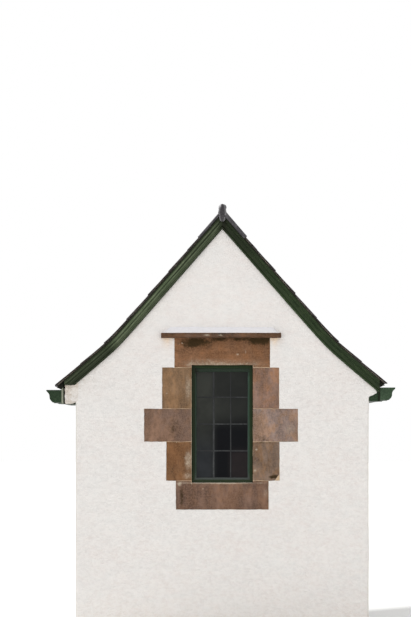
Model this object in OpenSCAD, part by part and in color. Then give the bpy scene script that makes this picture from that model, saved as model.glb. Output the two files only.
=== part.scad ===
// Gabled wall dormer: a narrow roughcast bay that stands out from a house wall, with a stone-dressed
// leaded casement, a bellcast slate roof that dies into the house roof, painted bargeboards and gutters.
// Millimetres. +X right, +Y back towards the house, +Z up. The origin lies under the middle of the whole.

/* [Walls] */
// Width across the bay at its front wall
wall_w = 2810; // [2500:10:3200]
// How far the front face stands out from the house wall
projection = 1000; // [900:10:1300]
// Thickness of the masonry walls
wall_t = 350; // [300:5:400]
// Width of the corbelled kneelers under the feet of the gable
kneeler_w = 110; // [80:1:118]
// Depth of a kneeler from front to back
kneeler_depth = 150; // [100:5:250]
// Height of the left kneeler's underside above the boxed eaves' underside
kneeler_rise = 0; // [0:1:40]
// Height of the right kneeler's springing above the boxed eaves' underside
right_kneeler_rise = 35; // [20:1:60]
// Rise of the right kneeler's sloping underside
kneeler_slope = 47; // [20:1:60]

/* [Window] */
// Width of the window opening between the jamb stones
win_w = 590; // [500:5:700]
// Height of the window opening
win_h = 1134; // [1030:2:1250]
// Height of the opening's sill above the ground
sill_z = 1446; // [1300:2:1480]
// Width of the splayed reveal at the inner wall face
reveal_w = 760; // [710:5:800]
// Face width of the fixed frame
frame_face = 30; // [20:1:45]
// Depth of the fixed frame from front to back
frame_depth = 60; // [50:1:80]
// Setback of the fixed frame behind the wall face
frame_setback = 40; // [15:1:90]
// Face width of the casement
casement_face = 18; // [12:1:30]
// Depth of the casement from front to back
casement_depth = 44; // [35:1:48]
// Thickness of the leaded glazing
glass_t = 6; // [4:0.5:10]
// Thickness of the inner window board
board_thick = 25; // [18:1:32]
// Projection of the window board into the room
board_nosing = 30; // [10:1:60]
// Height of the inner lintel over the splayed reveal
inner_lintel_h = 120; // [100:5:160]

/* [Stone Surround] */
// Recess of the stones behind the render
stone_recess = 6; // [2:0.5:12]
// Depth of the stones into the wall
stone_depth = 180; // [140:5:200]
// Length of the lintel
lintel_w = 920; // [860:5:1000]
// Height of the lintel from its bearings to its top
lintel_h = 282; // [220:2:300]
// Rise of the opening's head above the lintel's bearings
head_rise = 24; // [0:1:40]
// Length of the sill stone
sill_w = 892; // [840:2:960]
// Height of the sill stone under the opening
sill_h = 256; // [200:2:300]
// Height of the sill's raised seats under the jambs
seat_h = 21; // [10:1:60]
// Height of the upper jamb stones
upper_h = 396; // [350:2:450]
// Height of the long jamb stones
long_h = 318; // [260:2:360]
// Face width of the left upper jamb stone
left_upper_w = 283; // [220:1:320]
// Face width of the left long jamb stone
left_long_w = 457; // [380:1:500]
// Face width of the left lower jamb stone
left_lower_w = 244; // [200:1:300]
// Face width of the right upper jamb stone
right_upper_w = 252; // [220:1:320]
// Face width of the right long jamb stone
right_long_w = 433; // [380:1:500]
// Face width of the right lower jamb stone
right_lower_w = 256; // [200:1:300]
// Length of the dripstone over the lintel
drip_w = 1148; // [1000:4:1300]
// Offset of the dripstone to the left of the opening's middle
drip_off = 12; // [0:1:30]
// Height of the dripstone
drip_h = 46; // [35:1:60]
// Projection of the dripstone from the wall face
drip_proj = 70; // [40:1:100]
// Depth of the dripstone's bed in the wall
drip_bed = 100; // [70:5:140]
// Height of the mortar weathering on the dripstone
fillet_h = 59; // [40:1:90]
// Drawing-in of the weathering at each end
fillet_hip = 115; // [60:1:140]

/* [Roof] */
// Height of the roof deck at the face of the fascia
eaves_z = 2400; // [2380:5:2500]
// Overhang of the left eaves past the side wall
eaves_over = 140; // [130:1:170]
// Shortfall of the right eaves against the left ones
right_trim = 28; // [0:1:40]
// Pitch of the main slope in degrees
pitch = 48.9; // [47:0.1:50]
// Pitch of the bellcast foot in degrees
flare_pitch = 40.2; // [39:0.1:44]
// Width of the bellcast foot in plan
flare_run = 480; // [400:5:560]
// Thickness of the sarking boards
sarking_t = 20; // [16:1:25]
// Rise of a slate's tail above the deck
slate_t = 28; // [24:1:40]
// Rise of the slates above the deck at the head of a course
slate_head_t = 15; // [10:1:22]
// Overhang of the slates past the fascia
slate_tail = 45; // [35:1:55]
// Overhang of the slates past the front wall face
verge_over = 66; // [60:1:90]
// Number of slate courses up each slope
courses = 8; // [6:1:12]
// Share by which the lowest courses are deeper than the mean
course_taper = 0.25; // [0:0.05:0.4]
// Width of a rafter
rafter_w = 50; // [40:1:60]
// Depth of a rafter
rafter_d = 100; // [90:1:120]
// Spacing of the rafters
rafter_spacing = 400; // [380:5:420]
// Gap between the front wall and the first rafter
rafter_gap = 30; // [10:1:60]
// Thickness of the ridge board
ridge_board_t = 30; // [25:1:40]
// Depth of the ridge board
ridge_board_d = 175; // [150:5:200]
// Drop of the collars' top edge below the ridge
collar_drop = 790; // [750:5:850]
// Depth of a collar
collar_d = 100; // [80:1:120]
// Thickness of a collar
collar_t = 40; // [30:1:50]
// Width of a wall plate
plate_w = 100; // [90:1:120]
// Height of a wall plate
plate_h = 75; // [60:1:90]
// Setback of a wall plate from the wall's outer face
plate_setback = 70; // [60:1:90]
// Level bearing of a rafter on its plate
birdsmouth = 38; // [30:1:45]

/* [House Roof] */
// Pitch of the house roof in degrees
house_pitch = 48.6; // [47:0.1:50]
// Overhang of the house eaves past the house wall
house_eaves_over = 250; // [200:5:300]
// Drop of the house roof's deck at its eaves below the bay's deck edge
house_eaves_drop = 124; // [100:2:150]
// Thickness of the boards along the valleys
valley_board_t = 25; // [20:1:30]
// Reach of the valley boards to each side of the valley
valley_reach = 130; // [110:1:160]
// Clear height between the slates' cut edge and the house deck
slate_cut = 100; // [80:1:120]

/* [Leadwork] */
// Thickness of the valley lead
valley_lead_t = 4; // [3:0.5:6]
// Thickness of the ridge lead
lead_t = 5; // [4:0.5:8]
// Radius of the ridge roll
roll_r = 31; // [26:1:40]
// Rise of the ridge roll's middle above the apex of the slates
roll_rise = 12; // [0:1:20]
// Reach of the ridge lead down each slope in plan
lead_reach = 230; // [180:5:260]
// Drop of the lead tongue below the ridge of the deck
tongue_drop = 78; // [40:1:90]
// Width of the lead tongue at the ridge of the deck
tongue_w = 83; // [76:1:120]
// Width of the lead tongue at its lower edge
tongue_tip = 40; // [20:1:70]

/* [Boards And Gutters] */
// Depth of a bargeboard square to the slope
barge_d = 94; // [80:1:110]
// Thickness of a bargeboard
barge_t = 28; // [22:1:32]
// Depth of the verge moulding's crown
crown_d = 34; // [28:1:40]
// Projection of the verge moulding's crown from the board
crown_t = 22; // [16:1:26]
// Depth of the verge moulding's bed below the crown
bed_d = 10; // [6:1:16]
// Projection of the verge moulding's bed from the board
bed_t = 10; // [6:1:14]
// Distance of the left bargeboard's foot from the fascia face
left_foot_back = 30; // [25:1:40]
// Distance of the right bargeboard's plumb foot from the fascia face
right_foot_back = 12; // [5:1:30]
// Height of the left bargeboard's level foot below the fascia's deck edge
foot_drop = 14; // [0:1:25]
// Thickness of the fascia
fascia_t = 18; // [15:1:22]
// Depth of the boxed eaves from the deck edge to the soffit's underside
box_d = 192; // [180:1:205]
// Thickness of the soffit
soffit_t = 18; // [12:1:22]
// Thickness of the box end on the right
box_end_t = 18; // [12:1:22]
// Setback of the box end behind the wall face
box_end_setback = 10; // [0:1:20]
// Width of a gutter at its rim
gutter_w = 145; // [120:1:160]
// Width of a gutter at its base
gutter_base = 84; // [70:1:95]
// Depth of a gutter
gutter_d = 120; // [100:1:130]
// Drop of the gutter's rim below the fascia's deck edge
gutter_drop = 60; // [50:1:70]
// Wall thickness of a gutter
gutter_t = 5; // [4:0.5:8]
// Swell of the gutter's ogee
gutter_swell = 9; // [4:0.5:10]
// Gap between a gutter's rear stop end and the house eaves
gutter_gap = 60; // [30:5:100]

/* [Window Furniture] */
// Length of the casement handle
handle_l = 110; // [80:1:130]
// Width of the casement handle
handle_w = 14; // [10:1:18]
// Reach of the handle's boss from the casement
handle_reach = 20; // [15:1:30]
// Length of the casement stay
stay_l = 260; // [200:5:300]
// Width of the casement stay
stay_w = 14; // [10:1:17]
// Thickness of handle, plate and stay
iron_t = 5; // [4:0.5:8]
// Diameter of the stay's pegs
peg_d = 8; // [6:1:10]

/* [Hidden] */
$fn = 48;

// Colours of the finishes
render_colour = "linen";
stone_colour = "rosybrown";
paint_colour = "darkgreen";
casement_colour = "seagreen";
timber_colour = "burlywood";
slate_colour = "slategray";
lead_colour = "dimgray";

// Small distance by which a cutting shape passes a face
past = 1;

// Half widths and lines of the walls
half_w = wall_w / 2;
eaves_x = half_w + eaves_over;
fascia_x = eaves_x - fascia_t;
kneeler_x = half_w + kneeler_w;
left_foot_x = eaves_x - left_foot_back;
right_foot_x = eaves_x - right_trim - right_foot_back;
stone_back = stone_recess + stone_depth;

// Levels of the window and its stones
win_top = sill_z + win_h;
head_z = win_top - head_rise;
lintel_top = head_z + lintel_h;
drip_top = lintel_top + drip_h;
upper_z = head_z - upper_h;
long_z = upper_z - long_h;
seat_z = sill_z + seat_h;
sill_foot = sill_z - sill_h;

// Ends of the dripstone
drip_x0 = -drip_off - drip_w / 2;
drip_x1 = drip_x0 + drip_w;

// Height of the roof deck's apex
ridge_z = eaves_z + flare_run * tan(flare_pitch) + (eaves_x - flare_run) * tan(pitch);

// Height of the main slope at x, d below the deck square to the slope
function up_z(x, d) = ridge_z - d / cos(pitch) - x * tan(pitch);
// Height of the bellcast foot at x, d below the deck
function low_z(x, d) = eaves_z + (eaves_x - x) * tan(flare_pitch) - d / cos(flare_pitch);
// Height of the whole slope at x, d below the deck
function deck_z(x, d) = max(up_z(x, d), low_z(x, d));
// Where the two slopes meet, d below the deck
function bend_x(d) = (ridge_z - eaves_z - eaves_x * tan(flare_pitch)
    - d * (1 / cos(pitch) - 1 / cos(flare_pitch))) / (tan(pitch) - tan(flare_pitch));
// Half width of the main slope at height z, d below the deck
function slope_x(z, d) = (ridge_z - d / cos(pitch) - z) / tan(pitch);
// Points along the slope from x0 out to x1, d below the deck
function slope_line(x0, x1, d) = concat([[x0, deck_z(x0, d)]],
    (x0 < bend_x(d) && bend_x(d) < x1) ? [[bend_x(d), deck_z(bend_x(d), d)]] : [],
    [[x1, deck_z(x1, d)]]);
// The same list from its end to its start
function reversed(list) = [for (i = [len(list) - 1 : -1 : 0]) list[i]];

// Rise of eaves that end short by trim
function eaves_lift(trim) = trim * tan(flare_pitch);

// Levels of the eaves
soffit_z = eaves_z - box_d;
gutter_z = eaves_z - gutter_drop;
foot_z = eaves_z - foot_drop;
spring_z = soffit_z + eaves_lift(right_trim) + right_kneeler_rise;
plate_x = half_w - plate_setback;
seat_x = plate_x - birdsmouth;
plate_z = up_z(seat_x, sarking_t + rafter_d);
wall_top = plate_z - plate_h;
collar_z = ridge_z - collar_drop;

// The house roof, its eaves line and the line where the two roofs meet
house_eaves_y = projection - house_eaves_over;
house_eaves_z = eaves_z - house_eaves_drop;
function house_z(y, lift) = house_eaves_z + (y - house_eaves_y) * tan(house_pitch) + lift / cos(house_pitch);
function house_y(z, lift) = house_eaves_y + (z - house_eaves_z - lift / cos(house_pitch)) / tan(house_pitch);
function valley_y(x) = house_y(deck_z(x, 0), valley_board_t);

// Extent from front to back, and the middle of the whole
rear_y = valley_y(0) + valley_reach;
front_y = -(verge_over + lead_t);
mid_x = -right_trim / 2;
mid_y = (front_y + rear_y) / 2;
far_y = rear_y + valley_reach;
far_x = eaves_x + gutter_w + valley_reach;
sky_z = ridge_z + projection;

// Places of the rafters, of which the last still reaches the ridge in front of the house roof
rafter_from = wall_t + rafter_gap;
rafter_to = house_y(ridge_z - ridge_board_d - rafter_d, valley_board_t);
rafter_ys = [for (y = [rafter_from : rafter_spacing : rafter_to]) y];
foot_ys = [for (y = rafter_ys) if (y < house_y(plate_z, valley_board_t)) y];
collar_ys = [for (y = rafter_ys)
    if (y + rafter_w + collar_t < house_y(collar_z - collar_d, valley_board_t)) y];

// Slate courses: where the tail of course i lies across the slope, diminishing towards the ridge
slate_foot = eaves_x + slate_tail;
function course_share(i) = i / courses * (1 + course_taper * (1 - i / courses));
function tail_x(i, foot) = foot * (1 - course_share(i));
// Top line of the slates, stepped at each tail
function slate_steps(foot) = [for (i = [0 : courses - 1]) each [
    [tail_x(i, foot), deck_z(tail_x(i, foot), -slate_t)],
    [tail_x(i + 1, foot), deck_z(tail_x(i + 1, foot), i == courses - 1 ? -slate_t : -slate_head_t)]]];

// Window frame and casement from front to back
frame_back = frame_setback + frame_depth;
casement_y = frame_setback + (frame_depth - casement_depth) / 2;
casement_back = casement_y + casement_depth;
glass_y = casement_y + (casement_depth - glass_t) / 2;
casement_w = win_w - 2 * frame_face;
casement_h = win_h - 2 * frame_face;
light_w = casement_w - 2 * casement_face;
light_h = casement_h - 2 * casement_face;

// Outline of a gutter: an ogee front rising from the base to the rim
gutter_steps = 16;
function ogee_u(s) = gutter_base + (gutter_w - gutter_base) * s + gutter_swell * sin(360 * s);
function ogee(inset, z0) = [for (i = [0 : gutter_steps])
    let (z = z0 + (gutter_d - z0) * i / gutter_steps) [ogee_u(z / gutter_d) - inset, z]];

// Moves the bay so that the origin lies under its middle
module place() {
    translate([-mid_x, -mid_y, 0]) children();
}

// A piece mirrored to the left side
module on_left() {
    mirror([1, 0, 0]) children();
}

// Moves a piece drawn at the full eaves to eaves that end short by trim
module to_eaves(trim) {
    translate([-trim, 0, eaves_lift(trim)]) children();
}

// Carries an outline drawn as (x, z) from y0 back to y1
module along_y(y0, y1) {
    translate([0, y1, 0]) rotate([90, 0, 0]) linear_extrude(height = y1 - y0) children();
}

// Carries an outline drawn as (y, z) from x0 to x1
module along_x(x0, x1) {
    translate([x0, 0, 0]) rotate([90, 0, 90]) linear_extrude(height = x1 - x0) children();
}

// Rectangle from corner to corner
module panel(x0, x1, z0, z1) {
    polygon([[x0, z0], [x1, z0], [x1, z1], [x0, z1]]);
}

// Band of one slope between two depths below the deck
module slope_band(x0, x1, d0, d1) {
    polygon(concat(slope_line(x0, x1, d0), reversed(slope_line(x0, x1, d1))));
}

// Everything under the deck of both slopes
module roof_prism(d) {
    line = slope_line(0, far_x, d);
    left = [for (p = reversed(line)) [-p[0], p[1]]];
    polygon(concat(left, line, [[far_x, -past], [-far_x, -past]]));
}

// Everything behind the house eaves and under the house deck raised by lift
module house_mass(lift) {
    along_x(-far_x, far_x) polygon([
        [house_eaves_y, -past],
        [house_eaves_y, house_z(house_eaves_y, lift)],
        [far_y + past, house_z(far_y + past, lift)],
        [far_y + past, -past]]);
}

// Slab that lies on the house deck between two lifts
module house_slab(lift0, lift1) {
    along_x(-far_x, far_x) polygon([
        [house_eaves_y, house_z(house_eaves_y, lift0)],
        [far_y, house_z(far_y, lift0)],
        [far_y, house_z(far_y, lift1)],
        [house_eaves_y, house_z(house_eaves_y, lift1)]]);
}

// Strip in plan along the right valley, reaching to both sides of it
module valley_strip(trim) {
    xs = [0, bend_x(0), eaves_x - trim];
    linear_extrude(height = sky_z) polygon(concat(
        [for (x = xs) [x, max(house_eaves_y, valley_y(x) - valley_reach)]],
        [for (x = reversed(xs)) [x, valley_y(x) + valley_reach]]));
}

// A roof piece cut off where it meets the house roof
module cut_to_house(lift) {
    difference() {
        children();
        house_mass(lift);
    }
}

// Outline of the gable wall up to the underside of the sarking
module gable_outline() {
    line = slope_line(0, half_w, sarking_t);
    left = [for (p = reversed(line)) [-p[0], p[1]]];
    polygon(concat(left, line, [[half_w, 0], [-half_w, 0]]));
}

// Outline of a jamb stone of width w beside the opening, side -1 for left and 1 for right
module jamb_outline(side, w, z0, z1) {
    near = side * win_w / 2;
    far = near + side * w;
    panel(min(near, far), max(near, far), z0, z1);
}

module lintel_outline() {
    polygon([
        [-lintel_w / 2, head_z], [-win_w / 2, head_z], [-win_w / 2, win_top],
        [win_w / 2, win_top], [win_w / 2, head_z], [lintel_w / 2, head_z],
        [lintel_w / 2, lintel_top], [-lintel_w / 2, lintel_top]]);
}

module sill_outline() {
    polygon([
        [-sill_w / 2, sill_foot], [sill_w / 2, sill_foot], [sill_w / 2, seat_z], [win_w / 2, seat_z],
        [win_w / 2, sill_z], [-win_w / 2, sill_z], [-win_w / 2, seat_z], [-sill_w / 2, seat_z]]);
}

// Outline of the whole surround with the opening in it
module surround_outline() {
    lintel_outline();
    sill_outline();
    panel(-win_w / 2, win_w / 2, sill_z, win_top);
    jamb_outline(-1, left_upper_w, upper_z, head_z);
    jamb_outline(-1, left_long_w, long_z, upper_z);
    jamb_outline(-1, left_lower_w, seat_z, long_z);
    jamb_outline(1, right_upper_w, upper_z, head_z);
    jamb_outline(1, right_long_w, long_z, upper_z);
    jamb_outline(1, right_lower_w, seat_z, long_z);
}

// Plan of the splayed reveal behind the stones, run on by extra into the room
module reveal_plan(extra) {
    polygon([
        [-win_w / 2, stone_back], [win_w / 2, stone_back], [reveal_w / 2, wall_t],
        [reveal_w / 2, wall_t + extra], [-reveal_w / 2, wall_t + extra], [-reveal_w / 2, wall_t]]);
}

module front_wall() {
    color(render_colour) difference() {
        along_y(0, wall_t) gable_outline();
        along_y(-past, stone_back) surround_outline();
        along_y(-past, drip_bed) drip_outline();
        translate([0, 0, sill_z]) linear_extrude(height = win_h) reveal_plan(past);
        along_y(stone_back, wall_t + past) inner_lintel_outline();
    }
}

// The inner lintel ends in line with the stone one
module inner_lintel_outline() {
    panel(-lintel_w / 2, lintel_w / 2, win_top, win_top + inner_lintel_h);
}

module side_wall() {
    color(render_colour) translate([half_w - wall_t, wall_t, 0])
        cube([wall_t, projection - wall_t, wall_top]);
}

module left_kneeler() {
    color(render_colour) on_left() along_y(0, kneeler_depth) polygon([
        [half_w, soffit_z + kneeler_rise],
        [kneeler_x, soffit_z + kneeler_rise],
        [kneeler_x, low_z(kneeler_x, sarking_t)],
        [half_w, low_z(half_w, sarking_t)]]);
}

module right_kneeler() {
    end_x = kneeler_x - right_trim;
    color(render_colour) along_y(0, kneeler_depth) polygon([
        [half_w, spring_z],
        [end_x, spring_z + kneeler_slope],
        [end_x, low_z(end_x, sarking_t)],
        [half_w, low_z(half_w, sarking_t)]]);
}

module drip_outline() {
    panel(drip_x0, drip_x1, lintel_top, drip_top);
}

module dripstone() {
    color(stone_colour) along_y(-drip_proj, drip_bed) drip_outline();
}

module dripstone_fillet() {
    color(render_colour) intersection() {
        along_x(drip_x0, drip_x1) polygon([
            [-drip_proj, drip_top], [0, drip_top], [0, drip_top + fillet_h]]);
        along_y(-drip_proj, 0) polygon([
            [drip_x0, drip_top], [drip_x1, drip_top],
            [drip_x1 - fillet_hip, drip_top + fillet_h], [drip_x0 + fillet_hip, drip_top + fillet_h]]);
    }
}

module lintel() {
    color(stone_colour) along_y(stone_recess, stone_back) lintel_outline();
}

module sill() {
    color(stone_colour) along_y(stone_recess, stone_back) sill_outline();
}

module quoin(side, w, z0, z1) {
    color(stone_colour) along_y(stone_recess, stone_back) jamb_outline(side, w, z0, z1);
}

// Rectangular ring that starts rise above the sill, w by h outside and face wide
module ring_outline(w, h, rise, face) {
    difference() {
        panel(-w / 2, w / 2, sill_z + rise, sill_z + rise + h);
        panel(face - w / 2, w / 2 - face, sill_z + rise + face, sill_z + rise + h - face);
    }
}

module window_frame() {
    color(paint_colour) along_y(frame_setback, frame_back) ring_outline(win_w, win_h, 0, frame_face);
}

module casement() {
    color(casement_colour) along_y(casement_y, casement_back)
        ring_outline(casement_w, casement_h, frame_face, casement_face);
}

module leaded_glass() {
    rise = sill_z + frame_face + casement_face;
    color("darkslategray") along_y(glass_y, glass_y + glass_t)
        panel(-light_w / 2, light_w / 2, rise, rise + light_h);
}

module window_board() {
    color(render_colour) translate([0, 0, sill_z]) linear_extrude(height = board_thick) {
        polygon([[-win_w / 2, frame_back], [win_w / 2, frame_back],
                 [win_w / 2, stone_back], [-win_w / 2, stone_back]]);
        reveal_plan(board_nosing);
    }
}

module inner_lintel() {
    color(timber_colour) along_y(stone_back, wall_t) inner_lintel_outline();
}

// The handle stands on the right stile, half way up the light
module casement_handle() {
    mid_x = (casement_w - casement_face) / 2;
    mid_z = sill_z + win_h / 2;
    lever_y = casement_back + handle_reach;
    color(lead_colour) {
        along_y(casement_back, casement_back + iron_t)
            panel(mid_x - handle_w / 2, mid_x + handle_w / 2, mid_z - handle_l / 3, mid_z + handle_l / 3);
        translate([mid_x, lever_y, mid_z]) rotate([90, 0, 0]) cylinder(d = handle_w, h = handle_reach);
        along_y(lever_y - iron_t, lever_y)
            panel(mid_x - handle_w / 2, mid_x + handle_w / 2, mid_z - handle_l, mid_z);
    }
}

// The stay lies on the casement's bottom rail
module casement_stay() {
    mid_z = sill_z + frame_face + casement_face / 2;
    color(lead_colour) {
        along_y(casement_back, casement_back + iron_t)
            panel(-stay_l / 2, stay_l / 2, mid_z - stay_w / 2, mid_z + stay_w / 2);
        for (side = [-1, 1]) {
            translate([side * (stay_l - stay_w) / 2, casement_back + 2 * iron_t, mid_z])
                rotate([90, 0, 0]) cylinder(d = peg_d, h = 2 * iron_t);
        }
    }
}

module plate_outline() {
    panel(plate_x - plate_w, plate_x, wall_top, plate_z);
}

module wall_plates() {
    color(timber_colour) {
        along_y(wall_t, projection) plate_outline();
        on_left() along_y(wall_t, projection) plate_outline();
    }
}

module rafter_outline() {
    x0 = ridge_board_t / 2;
    polygon([
        [x0, up_z(x0, sarking_t)], [half_w, up_z(half_w, sarking_t)], [half_w, plate_z],
        [seat_x, plate_z], [x0, up_z(x0, sarking_t + rafter_d)]]);
}

module rafters() {
    color(timber_colour) cut_to_house(valley_board_t) for (y = rafter_ys) {
        along_y(y, y + rafter_w) rafter_outline();
        on_left() along_y(y, y + rafter_w) rafter_outline();
    }
}

// Firring over a rafter's foot that carries the bellcast, with the lookout of the boxed eaves
module sprocket_outline(trim) {
    x0 = bend_x(sarking_t);
    x1 = fascia_x - trim;
    box_z = soffit_z + soffit_t + eaves_lift(trim);
    polygon([
        [x0, up_z(x0, sarking_t)], [x1, low_z(x1, sarking_t)], [x1, box_z],
        [half_w, box_z], [half_w, up_z(half_w, sarking_t)]]);
}

module sprockets() {
    color(timber_colour) cut_to_house(valley_board_t) for (y = foot_ys) {
        along_y(y, y + rafter_w) sprocket_outline(right_trim);
        on_left() along_y(y, y + rafter_w) sprocket_outline(0);
    }
}

module collar_ties() {
    low = collar_z - collar_d;
    color(timber_colour) for (y = collar_ys) {
        along_y(y + rafter_w, y + rafter_w + collar_t) polygon([
            [-slope_x(low, sarking_t), low], [slope_x(low, sarking_t), low],
            [slope_x(collar_z, sarking_t), collar_z], [-slope_x(collar_z, sarking_t), collar_z]]);
    }
}

module ridge_board() {
    x1 = ridge_board_t / 2;
    z0 = up_z(x1, sarking_t) - ridge_board_d;
    color(timber_colour) cut_to_house(valley_board_t) along_y(wall_t, far_y) polygon([
        [-x1, z0], [x1, z0], [x1, up_z(x1, sarking_t)],
        [0, up_z(0, sarking_t)], [-x1, up_z(x1, sarking_t)]]);
}

module valley_board(trim) {
    intersection() {
        valley_strip(trim);
        house_slab(0, valley_board_t);
    }
}

module valley_boards() {
    color(timber_colour) {
        valley_board(right_trim);
        on_left() valley_board(0);
    }
}

module sarking(trim) {
    color(timber_colour) cut_to_house(valley_board_t) along_y(0, far_y)
        slope_band(0, eaves_x - trim, 0, sarking_t);
}

module slates(trim) {
    foot = slate_foot - trim;
    color(slate_colour) cut_to_house(slate_cut) along_y(-verge_over, far_y)
        polygon(concat(slope_line(0, foot, 0), slate_steps(foot)));
}

// Lead over the ridge: a roll with wings on the slates, turned down over their verge edges, and a tongue
// that hangs over the mitre of the bargeboards
module ridge_lead() {
    roll_z = up_z(0, -slate_t) + roll_rise;
    wing_d = -slate_t - lead_t;
    color(lead_colour) {
        cut_to_house(slate_cut) along_y(front_y, far_y) difference() {
            union() {
                slope_band(0, lead_reach, wing_d, -slate_t);
                mirror([1, 0, 0]) slope_band(0, lead_reach, wing_d, -slate_t);
                translate([0, roll_z]) circle(r = roll_r);
            }
            roof_prism(-slate_t);
        }
        along_y(front_y, -verge_over) {
            polygon([
                [-roll_r, roll_z], [roll_r, roll_z], [tongue_w / 2, ridge_z],
                [tongue_tip / 2, ridge_z - tongue_drop], [-tongue_tip / 2, ridge_z - tongue_drop],
                [-tongue_w / 2, ridge_z]]);
            slope_band(0, lead_reach, wing_d, 0);
            mirror([1, 0, 0]) slope_band(0, lead_reach, wing_d, 0);
        }
    }
}

// One valley's lead: a wing on the bay's deck under the slates and one on the valley board
module valley_sheet(trim) {
    intersection() {
        along_y(house_eaves_y, far_y) slope_band(0, eaves_x - trim, -valley_lead_t, 0);
        house_slab(valley_board_t, slate_cut);
    }
    difference() {
        intersection() {
            valley_strip(trim);
            house_slab(valley_board_t, valley_board_t + valley_lead_t);
        }
        along_y(0, far_y) roof_prism(0);
    }
}

module valley_lead() {
    color(lead_colour) {
        valley_sheet(right_trim);
        on_left() valley_sheet(0);
    }
}

// The left board ends level over its kneeler, the right board runs on and ends plumb
module left_bargeboard() {
    color(paint_colour) on_left() along_y(-barge_t, 0) intersection() {
        slope_band(0, left_foot_x, 0, barge_d);
        panel(0, left_foot_x, foot_z, sky_z);
    }
}

module right_bargeboard() {
    color(paint_colour) along_y(-barge_t, 0) slope_band(0, right_foot_x, 0, barge_d);
}

module verge_moulding(foot) {
    color(paint_colour) {
        along_y(-barge_t - crown_t, -barge_t) slope_band(0, foot, 0, crown_d);
        along_y(-barge_t - bed_t, -barge_t) slope_band(0, foot, crown_d, crown_d + bed_d);
    }
}

module left_verge_moulding() {
    on_left() intersection() {
        verge_moulding(left_foot_x);
        color(paint_colour) along_y(-barge_t - crown_t - past, past) panel(0, left_foot_x, foot_z, sky_z);
    }
}

module fascia(trim) {
    color(paint_colour) cut_to_house(valley_board_t) to_eaves(trim) along_y(0, far_y) polygon([
        [fascia_x, soffit_z], [eaves_x, soffit_z],
        [eaves_x, low_z(eaves_x, sarking_t)], [fascia_x, low_z(fascia_x, sarking_t)]]);
}

// The left soffit starts behind its kneeler, the right one behind the box end
module soffit(start_y, trim) {
    z0 = soffit_z + eaves_lift(trim);
    color(paint_colour) along_y(start_y, house_eaves_y) panel(half_w, fascia_x - trim, z0, z0 + soffit_t);
}

module gutter(trim) {
    solid = concat([[0, 0]], ogee(0, 0), [[0, gutter_d]]);
    trough = concat([[gutter_t, gutter_t]], ogee(gutter_t, gutter_t),
        [[gutter_w - gutter_t, gutter_d + past], [gutter_t, gutter_d + past]]);
    color(paint_colour) to_eaves(trim) translate([eaves_x, 0, gutter_z - gutter_d]) difference() {
        along_y(0, house_eaves_y - gutter_gap) polygon(solid);
        along_y(gutter_t, house_eaves_y - gutter_gap - gutter_t) polygon(trough);
    }
}

module right_box_end() {
    y0 = box_end_setback;
    x1 = fascia_x - right_trim;
    z0 = spring_z - right_kneeler_rise;
    color(paint_colour) along_y(y0, y0 + box_end_t) polygon([
        [half_w, z0], [x1, z0], [x1, spring_z + kneeler_slope],
        [kneeler_x - right_trim, spring_z + kneeler_slope], [half_w, spring_z]]);
}

place() front_wall();
place() on_left() side_wall();  // left_side_wall
place() side_wall();  // right_side_wall
place() left_kneeler();
place() right_kneeler();
place() dripstone();
place() dripstone_fillet();
place() lintel();
place() sill();
place() quoin(-1, left_upper_w, upper_z, head_z);  // left_upper_quoin
place() quoin(-1, left_long_w, long_z, upper_z);  // left_long_quoin
place() quoin(-1, left_lower_w, seat_z, long_z);  // left_lower_quoin
place() quoin(1, right_upper_w, upper_z, head_z);  // right_upper_quoin
place() quoin(1, right_long_w, long_z, upper_z);  // right_long_quoin
place() quoin(1, right_lower_w, seat_z, long_z);  // right_lower_quoin
place() window_frame();
place() casement();
place() leaded_glass();
place() window_board();
place() inner_lintel();
place() casement_handle();
place() casement_stay();
place() wall_plates();
place() rafters();
place() sprockets();
place() collar_ties();
place() ridge_board();
place() valley_boards();
place() on_left() sarking(0);  // left_sarking
place() sarking(right_trim);  // right_sarking
place() on_left() slates(0);  // left_slates
place() slates(right_trim);  // right_slates
place() ridge_lead();
place() valley_lead();
place() left_bargeboard();
place() right_bargeboard();
place() left_verge_moulding();
place() verge_moulding(right_foot_x);  // right_verge_moulding
place() on_left() fascia(0);  // left_fascia
place() fascia(right_trim);  // right_fascia
place() on_left() soffit(kneeler_depth, 0);  // left_soffit
place() soffit(box_end_setback + box_end_t, right_trim);  // right_soffit
place() on_left() gutter(0);  // left_gutter
place() gutter(right_trim);  // right_gutter
place() right_box_end();
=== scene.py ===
"""Looks of a gabled wall dormer: roughcast walls, a stone-dressed leaded casement, a bellcast slate roof.

Every size is in metres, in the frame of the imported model: +X right, +Y back towards the house, +Z up.
Each surface is worked out with numpy on a grid and closed by a second grid behind it.
"""

import logging
import math
from collections.abc import Iterable, Sequence
from dataclasses import dataclass, field
from enum import Enum
from functools import cached_property
from typing import NamedTuple

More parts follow.
